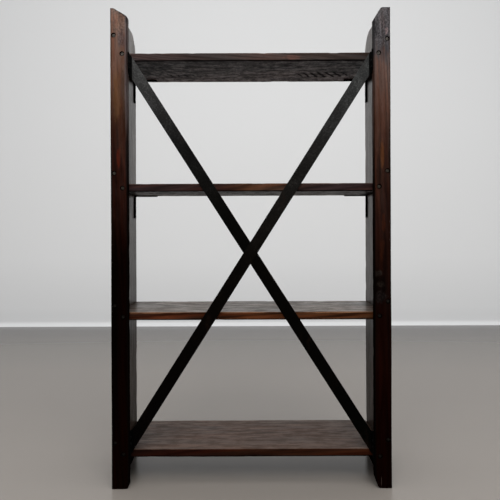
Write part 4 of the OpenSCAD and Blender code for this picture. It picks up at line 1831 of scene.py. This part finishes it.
def uprights() -> list[Board]:
    """The side panels and the rear stiles with their finishes.

    Returns:
        The left and the right panel and stile.
    """
    made: list[Board] = []
    for side in Side:
        sign, word = side.value, side.name.lower()
        panel_node, stile_node = word + "_side_panel", word + "_rear_stile"
        panel = WoodFinish(
            word + "_panel_wood", Grain.UPRIGHT,
            ((0.0, (32, 24, 19)), (0.1, (38, 29, 23)), (0.35, (47, 37, 29)), (0.8, (54, 42, 33)),
             (1.2, (68, 59, 54))),
            ((0.0, 0.3), (0.1, 0.36), (0.4, 0.46), (0.48, 0.56), (0.75, 0.65), (1.2, 0.86)),
            middle(panel_node), smeared=0.3, heart=(0.05 * sign, 0.03), ring_width=0.009,
            contrast=0.35, warmth=0.25)
        stile = WoodFinish(
            word + "_stile_wood", Grain.UPRIGHT, STILE_STAINS_AND_PAINTED_LIGHT[side],
            ((0.0, 0.0), (0.6, 0.0), (0.9, 0.15), (1.2, 0.3)), middle(stile_node),
            heart=(0.03 * sign, 0.06), ring_width=0.006, contrast=0.3, warmth=0.32, rubbed=(20, 10, 7),
            patches=STILE_PATCHES_AND_SHEEN[side])
        made.append(SidePanel(panel_node, panel, 11 + sign, side=side))
        made.append(RearStile(
            stile_node, stile, 21 + sign, rim=0.001, hollow=0.0006, nick=0.0016, side=side,
            top_cut=TOP_CUTS[side], foot_wear=FOOT_WEARS[side], bores=bores(side)))
    return made


def shelves() -> list[Board]:
    """The four shelves with their finishes.

    Returns:
        The shelves from the top down.
    """
    end = float(node_box(SHELVES[0])[1][X])
    # Height where the pattern is centred, wax, colours along the shelf and other looks, from the top down
    rows: tuple[tuple[float, float, Shades, dict[str, Any]], ...] = (
        (1.083, 0.28,
         ((-end, (59, 49, 49)), (-0.2, (53, 44, 43)), (-0.08, (60, 52, 50)), (0.05, (60, 47, 44)),
          (0.16, (52, 44, 41)), (end, (46, 40, 39))),
         {"upper": (60, 48, 42), "underside": (49, 41, 40), "tilt": (0.015, -0.12), "ring_width": 0.0042,
          "wander": 0.05, "contrast": 0.5, "warmth": 0.2, "blotched": 0.65, "flecked": 0.5,
          "sawn": ((0.2, 0.041, 0.085, 0.034, 1.5), (-0.252, 0.0, 0.065, 0.06, 0.6),
                   (-0.19, 0.048, 0.06, 0.016, 0.9)),
          "patches": (Patch((0.106, -0.0965, 1.081), (0.020, 0.01, 0.007), (98, 62, 54), 0.28, 1.8),)}),
        (0.7526, 0.35,
         ((-end, (36, 25, 25)), (-0.1, (44, 29, 26)), (-0.02, (69, 50, 38)), (0.06, (60, 43, 34)),
          (0.14, (42, 29, 27)), (end, (40, 28, 28))),
         {"underside": (50, 44, 39), "tilt": (0.015, 0.1), "contrast": 0.7, "warmth": 0.4,
          "flecked": 0.45}),
        (0.4280, 0.62,
         ((-end, (44, 24, 16)), (-0.2, (55, 31, 19)), (-0.12, (40, 21, 12)), (-0.02, (68, 40, 22)),
          (0.06, (52, 33, 20)), (end, (54, 34, 20))),
         {"upper": (64, 54, 45), "underside": (30, 22, 18), "tilt": (0.015, 0.05), "contrast": 0.8,
          "warmth": 0.6, "rubbed": (140, 104, 78), "rub": 0.5, "blotched": 0.7}),
        (0.0820, 0.36,
         ((-end, (18, 8, 5)), (-0.15, (30, 12, 8)), (0.0, (36, 17, 9)), (end, (42, 21, 11))),
         {"upper": (62, 46, 36), "underside": (20, 14, 11), "tilt": (0.015, 0.05), "contrast": 0.5,
          "warmth": 0.45, "blotched": 0.4, "smeared": 0.6}),
    )
    made: list[Board] = []
    for number, (node, (height, wax, stain_and_painted_light, looks)) in enumerate(zip(SHELVES, rows)):
        wood = WoodFinish(
            node + "_wood", Grain.LEVEL, stain_and_painted_light, ((-end, wax), (end, wax)), (0.07 * number, 0.011, height),
            heart=(0.03 + 0.02 * number, 0.05 - 0.03 * number), ior=1.08, **looks)
        made.append(Board(node, wood, 31 + 3 * number))
    return made


def straps() -> list[BraceStrap]:
    """The two straps of the brace.

    Their heights at the folds are given from the top shelf's and the bottom shelf's upper
    faces.

    Returns:
        The inner and the outer strap.
    """
    # The straps are painted lighter higher up and near black low down: painted light from the lamps above
    inner = SteelFinish("inner_strap_steel", (
        (0.1, (2, 2, 1)), (0.55, (4, 3, 2)), (0.68, (5, 5, 4)), (0.76, (14, 13, 12)), (0.86, (17, 17, 17)),
        (0.94, (38, 38, 38)), (1.06, (64, 64, 64)),
    ))
    outer = SteelFinish("outer_strap_steel", (
        (0.1, (2, 1, 1)), (0.42, (5, 3, 2)), (0.58, (9, 7, 5)), (0.66, (19, 17, 15)), (0.8, (25, 24, 23)),
        (0.94, (39, 39, 39)), (1.06, (54, 55, 55)),
    ))
    top, bottom = (node_box(shelf)[1][Z] for shelf in (SHELVES[0], SHELVES[-1]))
    return [
        BraceStrap("inner_brace_strap", Side.LEFT, inner, top - 0.034, bottom + 0.017, 51),
        BraceStrap("outer_brace_strap", Side.RIGHT, outer, top - 0.028, bottom + 0.022, 52),
    ]


def ironmongery() -> list[Ironmongery]:
    """The brackets, screws and dowels with their finishes.

    Returns:
        One set for each finish.
    """
    steel = SteelFinish("bracket_steel", ((0.6, (4, 4, 4)), (1.1, (4, 4, 4))), speckle=0.3, gloss=0.0)
    black = SteelFinish(
        "black_screw_steel", ((0.0, (8, 8, 8)), (1.1, (12, 12, 12))), speckle=0.3, rusting=0.3)
    # The screw heads are painted lighter higher up: painted light
    screw = SteelFinish(
        "screw_steel",
        ((0.05, (30, 27, 24)), (0.45, (36, 33, 30)), (0.8, (74, 69, 62)), (1.15, (88, 84, 80))),
        speckle=0.5, rust=(44, 28, 20), rusting=0.4, metallic=0.3, roughness=0.4)
    beech = WoodFinish(
        "dowel_beech", Grain.LEVEL, ((-0.35, (186, 152, 112)), (0.35, (196, 164, 124))),
        ((-0.35, 0.0), (0.35, 0.0)), (0.0, 0.0, 0.2), contrast=0.2, warmth=0.1)
    sides = [side.name.lower() for side in Side]
    return [
        Ironmongery(steel, tuple(f"{a}_{b}_bracket" for a in ("top", "upper") for b in sides)),
        Ironmongery(screw, tuple(f"{a}_stile_{b}_screws" for a in sides for b in ("panel", "shelf"))),
        Ironmongery(black, (
            "inner_brace_screws", "outer_brace_screws", "bracket_panel_screws", "bracket_shelf_screws")),
        Ironmongery(beech, ("lower_shelf_dowels", "bottom_shelf_dowels")),
    ]


def main() -> None:
    """Builds the bookcase and its studio, and reports each piece."""
    logging.basicConfig(level=logging.INFO, format="%(name)s %(message)s")
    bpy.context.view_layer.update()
    for part in (*uprights(), *shelves(), *straps(), *ironmongery(), Studio()):
        for piece in part.build():
            LOG.info("%s: %d faces", piece.name, len(piece.data.polygons))


if __name__ == "__main__":
    main()
